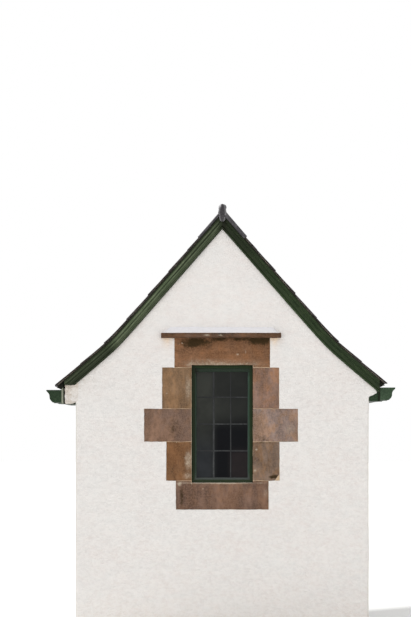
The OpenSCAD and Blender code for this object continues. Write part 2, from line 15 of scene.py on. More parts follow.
import bpy
import mathutils
import numpy as np
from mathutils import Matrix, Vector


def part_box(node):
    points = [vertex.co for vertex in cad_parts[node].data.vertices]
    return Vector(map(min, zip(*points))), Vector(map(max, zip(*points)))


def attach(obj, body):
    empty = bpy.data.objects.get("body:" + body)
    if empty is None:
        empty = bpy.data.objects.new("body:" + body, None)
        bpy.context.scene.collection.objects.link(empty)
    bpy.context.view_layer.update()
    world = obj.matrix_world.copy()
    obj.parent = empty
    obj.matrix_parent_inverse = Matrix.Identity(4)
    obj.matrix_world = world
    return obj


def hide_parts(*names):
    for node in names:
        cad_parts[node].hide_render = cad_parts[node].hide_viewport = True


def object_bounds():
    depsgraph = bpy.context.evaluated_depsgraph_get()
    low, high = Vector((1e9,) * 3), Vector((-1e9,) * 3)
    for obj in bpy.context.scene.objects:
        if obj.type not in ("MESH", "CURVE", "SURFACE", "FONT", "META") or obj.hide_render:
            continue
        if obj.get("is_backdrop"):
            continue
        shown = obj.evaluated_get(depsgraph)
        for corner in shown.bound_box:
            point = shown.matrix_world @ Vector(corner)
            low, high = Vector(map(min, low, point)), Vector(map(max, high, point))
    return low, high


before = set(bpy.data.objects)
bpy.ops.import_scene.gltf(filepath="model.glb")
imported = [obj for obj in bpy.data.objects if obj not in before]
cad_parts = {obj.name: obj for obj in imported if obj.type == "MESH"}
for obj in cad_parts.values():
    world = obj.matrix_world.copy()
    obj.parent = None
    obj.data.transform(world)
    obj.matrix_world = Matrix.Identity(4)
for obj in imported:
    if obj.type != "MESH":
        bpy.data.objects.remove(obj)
CAD_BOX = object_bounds()
MIDDLE = sum(corner.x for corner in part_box("ridge_board")) / 2

Array = np.ndarray
Triple = tuple[float, float, float]
Colour = Triple
BODY = "root"
MM = 0.001
# A distance that counts as away from every stone, and a scale that changes nothing.
FAR, EVEN = 9.0, (1, 1, 1)
SQUARE = ((-1, -1), (1, -1), (1, 1), (-1, 1))
# Angles in degrees past which an edge of joinery, of stone and of plaster stays sharp.
CRISP, FIRM, SOFT = 38, 50, 60
log = logging.getLogger("dormer")


class Side(Enum):
    """The two sides of the bay, with the sign of x on each."""

    LEFT = -1
    RIGHT = 1

    def node(self, piece: str) -> str:
        """Name of this side's node of a piece."""
        return f"{self.name.lower()}_{piece}"

    def grid(self, x: "Array", y: "Array", z: "Array") -> "Array":
        """Points of a grid with x counted outwards on this side."""
        return grid(self.value * x, y, z)


class Grain(Enum):
    """Which way the fibres of a timber or the brush marks of a paint run."""

    ACROSS = "x"
    ALONG = "y"
    UPRIGHT = "z"
    SLOPE = "rafter"

    def along_x(self, g: "Graph") -> object:
        """Object coordinates turned so that the fibres run along x.

        Args:
            g: graph of the material.
        Returns:
            The turned coordinates.
        """
        if self is not Grain.SLOPE:
            turns = {Grain.ALONG: (0, 0, -math.pi / 2), Grain.UPRIGHT: (0, math.pi / 2, 0)}
            return g.stretched(turn=turns[self]) if self in turns else g.where
        x, y, z = g.node("ShaderNodeSeparateXYZ", {0: g.where}).outputs
        side = g.math("ABSOLUTE", g.math("SUBTRACT", x, MIDDLE))
        folded = g.node("ShaderNodeCombineXYZ", {0: side, 1: y, 2: z})
        return g.stretched(turn=(0, -Slope.pitch, 0), where=folded.outputs[0])


class Spot(NamedTuple):
    """A place in metres, with x counted from the line of the ridge."""

    x: float
    y: float
    z: float


class Box(NamedTuple):
    """Lower and upper corners."""

    low: Spot
    high: Spot

    def distance(self, x: Array, z: Array) -> Array:
        """Distance from the outline seen from the front, 0 inside it."""
        spans = ((x, self.low.x, self.high.x), (z, self.low.z, self.high.z))
        return np.hypot(*(np.maximum(np.maximum(low - v, v - high), 0) for v, low, high in spans))


def box_of(node: str) -> Box:
    """The box of a node."""
    return Box(*(Spot(corner.x - MIDDLE, corner.y, corner.z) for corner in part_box(node)))


class Noise:
    """Smooth value noise: random values on a cubic lattice, blended by a smooth step between its corners."""

    count = 8192
    primes = (73856093, 19349663, 83492791)
    shift = 17.3

    def __init__(self, seed: int) -> None:
        """Draws the lattice's values from a seed."""
        self.values = np.random.default_rng(seed).uniform(-1, 1, self.count)

    def layer(self, points: Array) -> Array:
        """One octave at a lattice spacing of one.

        Args:
            points: positions, with x, y and z last.
        Returns:
            Values from -1 to 1.
        """
        cell = np.floor(points).astype(np.int64)
        part = points - cell
        part = part * part * (3 - 2 * part)
        total = np.zeros(points.shape[:-1])
        for corner in np.ndindex(2, 2, 2):
            key = np.bitwise_xor.reduce((cell + corner) * self.primes, axis=-1)
            total += np.prod(np.where(corner, part, 1 - part), axis=-1) * self.values[key % self.count]
        return total

    def __call__(self, points: Array, size: float, octaves: int = 1) -> Array:
        """Sum of octaves from bumps of this size in metres down, each half as large and half as high."""
        return sum(self.layer(points * (2 ** k / size) + self.shift * k) / 2 ** k for k in range(octaves))


@dataclass
class Solid:
    """A closed surface of four-sided faces, with marks that its finish reads."""

    points: Array
    faces: Array
    marks: dict[str, Array] = field(default_factory=dict)

    def volume(self) -> float:
        """Signed volume: a sixth of the sum of a . (b x c) over the triangles a, b, c."""
        a, b, c, d = (self.points[self.faces[:, k]] for k in range(4))
        return float((np.cross(b, c) * a).sum() + (np.cross(c, d) * a).sum()) / 6

    def outward(self) -> "Solid":
        """The same solid with its faces turned outwards."""
        return self if self.volume() >= 0 else Solid(self.points, self.faces[:, ::-1], self.marks)


def shell(front: Array, back: Array, keep: Array | None = None, loop: bool = False,
          **marks: Array | float) -> Solid:
    """Closes the space between two grids: faces on both, and a rim of faces round what is kept.

    Args:
        front: grid of points, rows by columns by 3.
        back: grid of the same shape behind it.
        keep: which cells are made, all of them if left out.
        loop: whether the last row joins the first.
        marks: values for each point of the front grid, used on both grids.
    Returns:
        The closed solid.
    """
    n, m = front.shape[:2]
    rows = n if loop else n - 1
    keep = np.ones((rows, m - 1), bool) if keep is None else keep
    i, j = np.meshgrid(np.arange(rows), np.arange(m - 1), indexing="ij")
    i2 = (i + 1) % n
    corners = np.stack([i * m + j, i2 * m + j, i2 * m + j + 1, i * m + j + 1], axis=-1)
    padded = np.pad(keep, 1)
    if loop:
        padded[0, 1:-1], padded[-1, 1:-1] = keep[-1], keep[0]
    beside = (padded[1:-1, :-2], padded[2:, 1:-1], padded[1:-1, 2:], padded[:-2, 1:-1])
    faces = [corners[keep], corners[keep][:, ::-1] + n * m]
    for k, neighbour in enumerate(beside):
        edge = corners[keep & ~neighbour]
        a, b = edge[:, k], edge[:, (k + 1) % 4]
        faces.append(np.stack([b, a, a + n * m, b + n * m], axis=-1))
    points = np.concatenate([front.reshape(-1, 3), back.reshape(-1, 3)])
    used, flat = np.unique(np.concatenate(faces), return_inverse=True)
    both = {k: np.tile(np.broadcast_to(v, (n, m)).ravel(), 2)[used] for k, v in marks.items()}
    return Solid(points[used], flat.reshape(-1, 4), both).outward()


def joined(solids: Iterable[Solid]) -> Solid:
    """Several solids as one, with each mark kept.

    Args:
        solids: solids that all carry the marks of the first.
    Returns:
        The one solid.
    """
    solids = list(solids)
    starts = np.cumsum([0] + [len(s.points) for s in solids])
    faces = [s.faces + start for s, start in zip(solids, starts)]
    marks = {k: np.concatenate([s.marks[k] for s in solids]) for k in solids[0].marks}
    return Solid(np.concatenate([s.points for s in solids]), np.concatenate(faces), marks)


def grid(*parts: Array | float) -> Array:
    """Points of a grid from its x, y and z, which are stretched to one shape."""
    return np.stack(np.broadcast_arrays(*parts), axis=-1).astype(float)


def lines(marks: Sequence[float], step: float) -> Array:
    """Grid lines through all marks, spread evenly between them at most a step apart.

    Args:
        marks: places that a line runs through.
        step: widest spacing.
    Returns:
        The lines in rising order.
    """
    marks = np.unique(np.round(marks, 5))
    runs = [np.linspace(a, b, math.ceil((b - a) / step), endpoint=False) for a, b in zip(marks, marks[1:])]
    return np.concatenate([*runs, marks[-1:]])


def ease(value: Array, low: float, high: float) -> Array:
    """Smooth step from 0 at low to 1 at high."""
    t = np.clip((value - low) / (high - low), 0, 1)
    return t * t * (3 - 2 * t)


def middles(across: Array, up: Array) -> tuple[Array, Array]:
    """Middles of a grid's cells, from its lines across as a column and its lines up as a row."""
    return (across[1:] + across[:-1]) / 2, (up[:, 1:] + up[:, :-1]) / 2


def run_of(x: Array, z: Array) -> Array:
    """Length of a line of points up to each of them."""
    return np.concatenate([[0], np.cumsum(np.hypot(np.diff(x), np.diff(z)))])


def evenly(x: Array, z: Array, count: int) -> tuple[Array, Array]:
    """The same line drawn with count points at even steps along it."""
    run = run_of(x, z)
    return tuple(np.interp(np.linspace(0, run[-1], count), run, line) for line in (x, z))


@dataclass
class Slope:
    """Section through one roof slope: a steep line eased into a flatter foot.

    The deck's height is the soft maximum of the two lines, m + sqrt(h^2 + ease^2), with m their mean and h
    half their difference. A parallel line lies at a depth square to the deck.
    """

    apex: float
    edge_x: float
    edge_z: float
    pitch: float = math.radians(48.9)
    foot_pitch: float = math.radians(40.2)
    bend: float = 12 * MM
    beyond: tuple[float, float] = (0.4, 0.3)
    samples: int = 1500

    def __post_init__(self) -> None:
        """Samples the section once, from beyond the ridge to beyond the edge."""
        self.x = np.linspace(-self.beyond[0], self.edge_x + self.beyond[1], self.samples)
        self.z = self.deck(self.x)
        fall = np.gradient(self.z, self.x)
        length = np.hypot(1, fall)
        self.nx, self.nz = -fall / length, 1 / length
        run = run_of(self.x, self.z)
        self.up = np.interp(self.edge_x, self.x, run) - run

    def deck(self, x: Array | float) -> Array:
        """Height of the deck at x.

        Args:
            x: distance from the ridge line.
        Returns:
            Height of the deck.
        """
        steep = self.apex - x * math.tan(self.pitch)
        flat = self.edge_z + (self.edge_x - x) * math.tan(self.foot_pitch)
        return (steep + flat) / 2 + np.hypot((steep - flat) / 2, self.bend)

    def height(self, x: Array | float, depth: float) -> Array:
        """Height at x of the line that lies depth below the deck."""
        return np.interp(x, self.x - depth * self.nx, self.z - depth * self.nz)

    def at(self, up: Array, lift: Array) -> tuple[Array, Array]:
        """The x and z of points at a distance up the deck from its lower edge, lifted off it."""
        x, z, nx, nz = (np.interp(up, self.up[::-1], a[::-1]) for a in (self.x, self.z, self.nx, self.nz))
        return x + lift * nx, z + lift * nz

    def distance(self, x: Array | float) -> Array:
        """Distance up the deck from its lower edge to x."""
        return np.interp(x, self.x, self.up)


@dataclass(frozen=True)
class HouseRoof:
    """The plane of the house roof's deck, which rises towards +Y."""

    edge_y: float
    edge_z: float
    pitch: float = math.radians(48.6)

    def y_at(self, z: Array, lift: float) -> Array:
        """Where the plane raised by lift reaches height z."""
        return self.edge_y + (z - self.edge_z - lift / math.cos(self.pitch)) / math.tan(self.pitch)


@dataclass(frozen=True)
class Site:
    """Lines that the whole bay is set out from."""

    half_w: float
    front: float
    back: float
    wall_top: float
    slope: Slope
    reach: dict[Side, float]
    house: HouseRoof

    @classmethod
    def from_frame(cls) -> "Site":
        """Reads the lines off the boxes of the nodes.

        Returns:
            The lines of the bay.
        """
        wall, side, deck = box_of("front_wall"), box_of("right_side_wall"), box_of("left_sarking")
        house = HouseRoof(box_of("right_soffit").high.y, box_of("valley_boards").low.z)
        reach = {Side.LEFT: -deck.low.x, Side.RIGHT: box_of("right_sarking").high.x}
        foot = deck.low.z + Deck.thickness / math.cos(Slope.foot_pitch)
        slope = Slope(deck.high.z, reach[Side.LEFT], foot)
        return cls(wall.high.x, wall.low.y, side.high.y, side.high.z, slope, reach, house)


class Graph:
    """Short calls for building a node tree."""

    def __init__(self, tree: bpy.types.NodeTree) -> None:
        """Keeps the tree that the nodes are added to."""
        self.tree = tree

    @cached_property
    def where(self) -> object:
        """Object coordinates, which the calls use unless others are given."""
        return self.node("ShaderNodeTexCoord").outputs["Object"]

    def feed(self, socket: bpy.types.NodeSocket, value: object) -> None:
        """Links an input to another socket, or sets its value, where a colour is opaque.

        Args:
            socket: the input.
            value: a socket or a value.
        """
        if isinstance(value, bpy.types.NodeSocket):
            self.tree.links.new(value, socket)
        else:
            socket.default_value = (*value, 1.0) if socket.type == "RGBA" else value

    def node(self, kind: str, sockets: dict[int | str, object] | None = None,
             **props: object) -> bpy.types.Node:
        """Adds a node.

        Args:
            kind: class name of the node.
            sockets: input names or numbers, with a socket to link or a value to set.
            props: properties of the node.
        Returns:
            The node.
        """
        made = self.tree.nodes.new(kind)
        for name, value in props.items():
            setattr(made, name, value)
        for key, value in (sockets or {}).items():
            self.feed(made.inputs[key], value)
        return made

    def noise(self, scale: object, detail: float = 3.0, roughness: float = 0.6,
              where: object = None) -> object:
        """Noise from 0 to 1, at a scale in features a metre."""
        sockets = {"Vector": where or self.where, "Scale": scale, "Detail": detail, "Roughness": roughness}
        return self.node("ShaderNodeTexNoise", sockets).outputs["Fac"]

    def math(self, operation: str, a: object, b: object = 0.0) -> object:
        """Arithmetic on two values."""
        return self.node("ShaderNodeMath", {0: a, 1: b}, operation=operation).outputs[0]

    def times(self, a: object, b: object) -> object:
        """Product of two values."""
        return self.math("MULTIPLY", a, b)

    def span(self, value: object, low: float, high: float, to_low: float = 0.0,
             to_high: float = 1.0) -> object:
        """Maps low..high to to_low..to_high, clamped, with a smooth step."""
        sockets = {"Value": value, "From Min": low, "From Max": high, "To Min": to_low, "To Max": to_high}
        return self.node("ShaderNodeMapRange", sockets, interpolation_type="SMOOTHSTEP").outputs[0]

    def mix(self, share: object, a: object, b: object) -> object:
        """Blends two colours."""
        return self.node("ShaderNodeMix", {0: share, 6: a, 7: b}, data_type="RGBA").outputs[2]

    def over(self, colour: object, tint: object, mask: object, share: object) -> object:
        """Lays a tint over a colour by the product of a mask and a share."""
        return self.mix(self.times(mask, share), colour, tint)

    def bump(self, height: object, distance: float, strength: float = 1.0, normal: object = None) -> object:
        """Normal bent by a height of the given distance in metres."""
        sockets = {"Height": height, "Distance": distance, "Strength": strength}
        return self.node("ShaderNodeBump", sockets | ({"Normal": normal} if normal else {})).outputs[0]

    def stretched(self, scale: Triple = EVEN, turn: Triple = (0, 0, 0), where: object = None) -> object:
        """Coordinates stretched by scale after a turn in radians."""
        sockets = {"Vector": where or self.where, "Rotation": turn, "Scale": scale}
        return self.node("ShaderNodeMapping", sockets, vector_type="POINT").outputs[0]

    def mark(self, name: str) -> object:
        """A mark of the mesh, from 0 to 1."""
        return self.node("ShaderNodeAttribute", attribute_name=name).outputs["Fac"]

    def effect(self, effect: "Effect", scale: float, spread: float, where: object = None) -> object:
        """Mask of a shared effect, at a scale in features a metre."""
        sockets = {"Vector": where or self.where, "Scale": scale, "Spread": spread}
        return self.node("ShaderNodeGroup", sockets, node_tree=effect.tree()).outputs[0]


class Effect(Enum):
    """Effects that several finishes share, each a node group built once."""

    MOTTLE = "mottle"
    STREAKS = "streaks"
    SPECKS = "specks"
    FIBRES = "fibres"

    def tree(self) -> bpy.types.NodeTree:
        """Builds the group at the first call.

        Returns:
            Its node tree.
        """
        found = bpy.data.node_groups.get(self.value)
        if found:
            return found
        tree = bpy.data.node_groups.new(self.value, "ShaderNodeTree")
        for name, way, kind in (("Vector", "INPUT", "Vector"), ("Scale", "INPUT", "Float"),
                                ("Spread", "INPUT", "Float"), ("Mask", "OUTPUT", "Float")):
            tree.interface.new_socket(name, in_out=way, socket_type="NodeSocket" + kind)
        g = Graph(tree)
        into = g.node("NodeGroupInput").outputs
        mask = getattr(self, self.value)(g, into["Vector"], into["Scale"], into["Spread"])
        g.node("NodeGroupOutput", {0: mask})
        return tree

    @staticmethod
    def around_half(g: Graph, value: object, spread: object) -> object:
        """Stretches the values within spread of a half to the range from 0 to 1."""
        return g.span(value, g.math("SUBTRACT", 0.5, spread), g.math("ADD", 0.5, spread))

    def mottle(self, g: Graph, where: object, scale: object, spread: object) -> object:
        """Soft patches with finer ones inside them: the mean of two noises."""
        fine = g.noise(g.times(scale, 4.7), 4.0, where=where)
        return self.around_half(g, g.times(g.math("ADD", g.noise(scale, where=where), fine), 0.5), spread)

    def streaks(self, g: Graph, where: object, scale: object, spread: object) -> object:
        """Runs down the surface: noise seven times as long as it is wide."""
        long = g.stretched((1, 1, 0.14), where=where)
        return self.around_half(g, g.noise(scale, 4.0, where=long), spread)

    def specks(self, g: Graph, where: object, scale: object, spread: object) -> object:
        """Small round spots: nearness to scattered points, kept where a noise is high.

        Args:
            g: graph of the group.
            where: coordinates.
            scale: features a metre.
            spread: how soft the edges are.
        Returns:
            The mask, from 0 to 1.
        """
        spot = g.node("ShaderNodeTexVoronoi", {"Vector": where, "Scale": scale}).outputs["Distance"]
        near = g.span(spot, 0.1, 0.32, 1.0, 0.0)
        patchy = g.noise(g.times(scale, 0.23), 2.0, where=where)
        rare = g.span(patchy, g.math("SUBTRACT", 0.72, spread), 0.75)
        return g.times(near, rare)

    def fibres(self, g: Graph, where: object, scale: object, spread: object) -> object:
        """Wood fibres along x: noise twenty-four times as long as it is wide."""
        long = g.stretched((0.042, 1, 1), where=where)
        return self.around_half(g, g.noise(scale, 5.0, 0.65, long), spread)


class Surface(NamedTuple):
    """What the shader takes, each a socket or a value."""

    colour: object
    roughness: object
    normal: object
    specular: float = 0.5
    metallic: float = 0.0


@dataclass(frozen=True)
class Finish:
    """A surface finish, which makes one material."""

    name: str
    slot: str

    def look(self, g: Graph) -> Surface:
        """What the shader takes, worked out in the material's graph."""
        raise NotImplementedError

    def material(self) -> bpy.types.Material:
        """Makes the material at the first call.

        Returns:
            The material.
        """
        found = bpy.data.materials.get(self.name)
        if found:
            return found
        made = bpy.data.materials.new(self.name)
        made.use_nodes = True
        g = Graph(made.node_tree)
        shader = made.node_tree.nodes["Principled BSDF"]
        inputs = ("Base Color", "Roughness", "Normal", "Specular IOR Level", "Metallic")
        for key, value in zip(inputs, self.look(g)):
            g.feed(shader.inputs[key], value)
        return made


@dataclass(frozen=True)
class Limewash(Finish):
    """Limewash over roughcast or plaster: pale, faintly pink and grey in patches, gritty."""

    body: Colour = (0.79, 0.755, 0.727)
    warm: Colour = (0.745, 0.678, 0.648)
    cool: Colour = (0.71, 0.712, 0.703)
    stain: Colour = (1.0, 0.68, 0.37)
    soot: Colour = (0.50, 0.43, 0.36)
    crest_highlight: Colour = (0.86, 0.83, 0.80)
    grit: float = 2.2 * MM

    def look(self, g: Graph) -> Surface:
        """Mottles tint the wash, two marks stain it, and bumps make its grit, bolder by the rough mark.

        Args:
            g: graph of the material.
        Returns:
            What the shader takes.
        """
        colour = g.mix(g.effect(Effect.MOTTLE, 1.9, 0.16), self.body, self.warm)
        grey = g.effect(Effect.MOTTLE, 3.1, 0.14, g.stretched((0.6, 1, 1.6)))
        colour = g.over(colour, self.cool, grey, 0.55)
        runs = g.effect(Effect.STREAKS, 21.0, 0.3)
        # The stain is lighter in red than the wash: besides staining, it lifts the patches under the
        # dripstone's ends out of their shade as painted light.
        colour = g.over(colour, self.stain, g.mark("damp"), g.span(runs, 0.0, 1.0, 0.45, 1.0))
        smudge = g.effect(Effect.MOTTLE, 14.0, 0.2)
        colour = g.over(colour, self.soot, g.mark("soot"), smudge)
        pebbles = g.node("ShaderNodeTexVoronoi", {"Vector": g.where, "Scale": 95.0}, feature="SMOOTH_F1")
        coarse = g.times(pebbles.outputs["Distance"], -1.0)
        rough = g.span(g.mark("rough"), 0.0, 1.0, 0.4, 1.0)
        ripple = g.noise(15.0, where=g.stretched((0.55, 1, 1.3)))
        lumps = g.noise(34.0, 5.0, 0.7, where=g.stretched((0.8, 1, 1.2)))
        # Painted shade: the pits between the lumps darken towards the soot tone where the wash is rough.
        colour = g.over(colour, self.soot, g.span(lumps, 0.36, 0.5, 0.05, 0.0), rough)
        # Painted highlight: the crests of the lumps lighten, and the rough wash as a whole a little.
        colour = g.over(colour, self.crest_highlight, g.span(lumps, 0.38, 0.62, 0.25, 0.7), rough)
        normal = g.bump(g.times(ripple, rough), self.grit * 3.5, 0.8)
        normal = g.bump(g.times(lumps, rough), self.grit * 7.0, 1.0, normal)
        normal = g.bump(coarse, self.grit, 0.8, normal)
        return Surface(colour, 0.93, normal, 0.18)


@dataclass(frozen=True)
class Sandstone(Finish):
    """Red-brown sandstone: bedding and tool streaks, algae where it stays wet, lime where it is rubbed."""

    body: Colour = (0.20, 0.118, 0.072)
    turn: float = 0.0
    drift: float = 0.7
    algae: Colour = (0.032, 0.018, 0.004)
    lime: Colour = (0.50, 0.42, 0.32)
    ochre: Colour = (1.16, 1.0, 0.74)
    ash: Colour = (0.86, 1.0, 1.2)

    def tone(self, share: float) -> Colour:
        """The body colour made lighter or darker."""
        return tuple(min(1.0, share * c) for c in self.body)

    def look(self, g: Graph) -> Surface:
        """Streaks and mottles blend tones and hues of the stone, and marks add algae and lime.

        Args:
            g: graph of the material.
        Returns:
            What the shader takes.
        """
        turned = g.stretched(turn=(0, self.turn, 0))
        bands = g.effect(Effect.STREAKS, 8.0, 0.15, g.stretched((1, 1, 2.2), where=turned))
        colour = g.mix(bands, self.tone(0.55), self.tone(1.5))
        runs = g.effect(Effect.STREAKS, 36.0, 0.2, turned)
        colour = g.over(colour, self.tone(1.6), runs, 0.35)
        patch = g.effect(Effect.MOTTLE, 8.0, 0.12, g.stretched((1, 1, 0.6), where=turned))
        colour = g.over(colour, self.tone(0.42), patch, 0.62)
        warm = g.effect(Effect.MOTTLE, 4.5, 0.1, g.stretched((1, 1, 0.6)))
        hue = g.mix(g.span(warm, 0, 1, 0.5 - 0.5 * self.drift, 0.5 + 0.5 * self.drift), self.ash, self.ochre)
        colour = g.node("ShaderNodeVectorMath", {0: colour, 1: hue}, operation="MULTIPLY").outputs[0]
        fine = g.noise(75.0, 6.0, 0.75)
        colour = g.mix(g.span(fine, 0.36, 0.7, 0.0, 0.7), colour, self.tone(1.5))
        clouds = g.times(g.effect(Effect.MOTTLE, 9.0, 0.25), 0.7)
        wet = g.span(g.math("ADD", g.mark("algae"), clouds), 0.55, 1.2)
        colour = g.over(colour, self.algae, wet, g.span(fine, 0.4, 0.62, 1.0, 0.92))
        scuffs = g.effect(Effect.MOTTLE, 40.0, 0.15)
        colour = g.mix(g.span(g.mark("lime"), 0.2, 1.0, 0.0, 0.35), colour, self.lime)
        rubbed = g.span(g.math("ADD", g.mark("lime"), g.times(scuffs, 0.6)), 0.72, 1.5)
        colour = g.over(colour, self.lime, rubbed, 0.8)
        colour = g.mix(g.effect(Effect.SPECKS, 46.0, 0.05), colour, self.lime)
        normal = g.bump(g.noise(70.0, 6.0, 0.7), 3 * MM, 0.8)
        normal = g.bump(fine, 1 * MM, 0.6, normal)
        return Surface(colour, g.span(fine, 0.2, 0.8, 0.78, 0.95), normal, 0.2)


@dataclass(frozen=True)
class Paint(Finish):
    """Oil paint on wood or iron: brushed, a little faded, with dust in its hollows and painted shade."""

    colour: Colour = (0.009, 0.022, 0.005)
    faded: Colour = (0.017, 0.033, 0.010)
    dust: Colour = (0.05, 0.054, 0.038)
    gloss: float = 0.42
    grain: Grain = Grain.UPRIGHT
    painted_shade: Colour = (0.008, 0.0085, 0.0035)
    pale_edge: Colour = (0.24, 0.25, 0.19)

    def look(self, g: Graph) -> Surface:
        """Brush marks and a mottle fade the paint, and marks add dust, painted shade and a pale edge.

        Args:
            g: graph of the material.
        Returns:
            What the shader takes.
        """
        along = g.stretched((0.07, 1, 1), where=self.grain.along_x(g))
        strokes = g.noise(95.0, 5.0, 0.7, where=along)
        patch = g.effect(Effect.MOTTLE, 7.0, 0.18)
        worn = g.times(g.span(strokes, 0.36, 0.66), g.span(patch, 0, 1, 0.4, 1))
        colour = g.mix(worn, self.colour, self.faded)
        colour = g.mix(g.span(g.mark("dirt"), 0.0, 1.0, 0.0, 0.75), colour, self.dust)
        # Painted shade: the shade mark blends the paint towards a dark tone.
        colour = g.mix(g.mark("shade"), colour, self.painted_shade)
        colour = g.mix(g.mark("edge"), colour, self.pale_edge)
        dots = g.effect(Effect.SPECKS, 120.0, 0.05)
        colour = g.over(colour, self.dust, dots, 0.4)
        normal = g.bump(strokes, 0.6 * MM, 0.7)
        normal = g.bump(g.noise(22.0), 2 * MM, 0.35, normal)
        return Surface(colour, g.span(patch, 0, 1, self.gloss, self.gloss + 0.2), normal, 0.16)


@dataclass(frozen=True)
class Slates(Finish):
    """Riven slate: purple-grey to buff from slate to slate, with lichen, rain marks and painted shade on its
    rims.
    """

    cool: Colour = (0.23, 0.225, 0.265)
    warm: Colour = (0.46, 0.42, 0.385)
    dark: Colour = (0.12, 0.115, 0.125)
    broken_rim_and_shade: Colour = (0.020, 0.014, 0.010)
    lichen: Colour = (0.46, 0.44, 0.30)

    def look(self, g: Graph) -> Surface:
        """Each slate's tone mark sets its colour, layers of noise rive, streak and spot it, and rims take
        painted shade.

        Args:
            g: graph of the material.
        Returns:
            What the shader takes.
        """
        tone = g.math("ADD", g.mark("tone"), g.span(g.noise(9.0, 5.0), 0.3, 0.7, -0.22, 0.22))
        colour = g.mix(tone, self.cool, self.warm)
        rain = g.effect(Effect.MOTTLE, 11.0, 0.13)
        colour = g.over(colour, self.dark, rain, 0.5)
        spots = g.effect(Effect.SPECKS, 30.0, 0.14)
        colour = g.over(colour, self.lichen, spots, 0.55)
        # Painted shade: the edge mark darkens the slates' rims nearly to black, deeper than a broken edge
        # alone, and the whole undercloak.
        colour = g.mix(g.span(g.mark("edge"), 0.2, 0.8, 0.0, 0.96), colour, self.broken_rim_and_shade)
        riven = g.noise(26.0, 6.0, 0.66, where=g.stretched((1.0, 1.0, 1.4)))
        normal = g.bump(riven, 5 * MM, 0.8)
        return Surface(colour, g.span(riven, 0.2, 0.8, 0.62, 0.85), normal, 0.2)


@dataclass(frozen=True)
class SheetLead(Finish):
    """Old sheet lead: dull purple-grey skin, pale bloom, painted shade in its folds, painted highlights on
    bent edges.
    """

    skin: Colour = (0.050, 0.046, 0.051)
    bloom: Colour = (0.115, 0.110, 0.116)
    dark: Colour = (0.018, 0.016, 0.018)
    bright: Colour = (0.80, 0.79, 0.80)

    def look(self, g: Graph) -> Surface:
        """Mottles blend the skin with bloom and darker patches, and two marks lay painted shade and
        highlights on it.

        Args:
            g: graph of the material.
        Returns:
            What the shader takes.
        """
        colour = g.mix(g.effect(Effect.MOTTLE, 9.0, 0.14), self.skin, self.bloom)
        runs = g.effect(Effect.STREAKS, 26.0, 0.2)
        colour = g.over(colour, self.dark, runs, 0.6)
        colour = g.mix(g.mark("dim"), colour, self.dark)
        colour = g.mix(g.mark("bright"), colour, self.bright)
        dents = g.noise(24.0)
        normal = g.bump(dents, 4 * MM, 0.5)
        return Surface(colour, g.span(dents, 0.2, 0.8, 0.5, 0.7), normal, 0.25, 0.15)


@dataclass(frozen=True)
class Timber(Finish):
    """Sawn softwood gone brown with age, with fibres and knots."""

    grain: Grain = Grain.ALONG
    body: Colour = (0.34, 0.22, 0.125)
    dark: Colour = (0.15, 0.09, 0.05)

    def look(self, g: Graph) -> Surface:
        """Fibres and wide rings darken the wood, and a mottle greys it.

        Args:
            g: graph of the material.
        Returns:
            What the shader takes.
        """
        along = self.grain.along_x(g)
        fibres = g.effect(Effect.FIBRES, 130.0, 0.22, along)
        rings = g.effect(Effect.FIBRES, 24.0, 0.12, along)
        colour = g.over(self.body, self.dark, fibres, 0.6)
        colour = g.over(colour, self.dark, rings, 0.55)
        colour = g.mix(g.effect(Effect.MOTTLE, 4.0, 0.25), colour, self.body)
        normal = g.bump(fibres, 0.8 * MM, 0.6)
        return Surface(colour, 0.8, normal, 0.25)


@dataclass(frozen=True)
class OldGlass(Finish):
    """Old glass in front of a dark room: nearly black, faintly rippled, greyer where it catches the sky."""

    depth: Colour = (0.0045, 0.0048, 0.0060)
    blue: Colour = (0.036, 0.039, 0.043)
    sky: Colour = (0.036, 0.038, 0.033)
    brown: Colour = (0.024, 0.019, 0.019)

    def look(self, g: Graph) -> Surface:
        """The sky mark lays a painted reflection, a soft grey, over the depth, and two marks turn it blue and
        brown.

        Args:
            g: graph of the material.
        Returns:
            What the shader takes.
        """
        tint = g.mix(g.mark("tone"), self.sky, self.blue)
        soft = g.span(g.noise(6.0, 2.0), 0.3, 0.7, 0.8, 1.15)
        colour = g.over(self.depth, tint, g.mark("sky"), soft)
        colour = g.over(colour, self.brown, g.mark("warm"), soft)
        normal = g.bump(g.noise(7.0, 1.0), 3 * MM, 0.25)
        return Surface(colour, 0.12, normal, 0.06)


@dataclass(frozen=True)
class Iron(Finish):
    """Black painted wrought iron, hammered and slightly rusty."""

    black: Colour = (0.022, 0.021, 0.02)
    rust: Colour = (0.12, 0.045, 0.02)

    def look(self, g: Graph) -> Surface:
        """Rust shows in specks, and a coarse noise gives the hammer marks.

        Args:
            g: graph of the material.
        Returns:
            What the shader takes.
        """
        rust = g.effect(Effect.SPECKS, 90.0, 0.15)
        normal = g.bump(g.noise(90.0, 2.0), 1.5 * MM, 0.6)
        return Surface(g.mix(rust, self.black, self.rust), 0.5, normal, metallic=0.4)


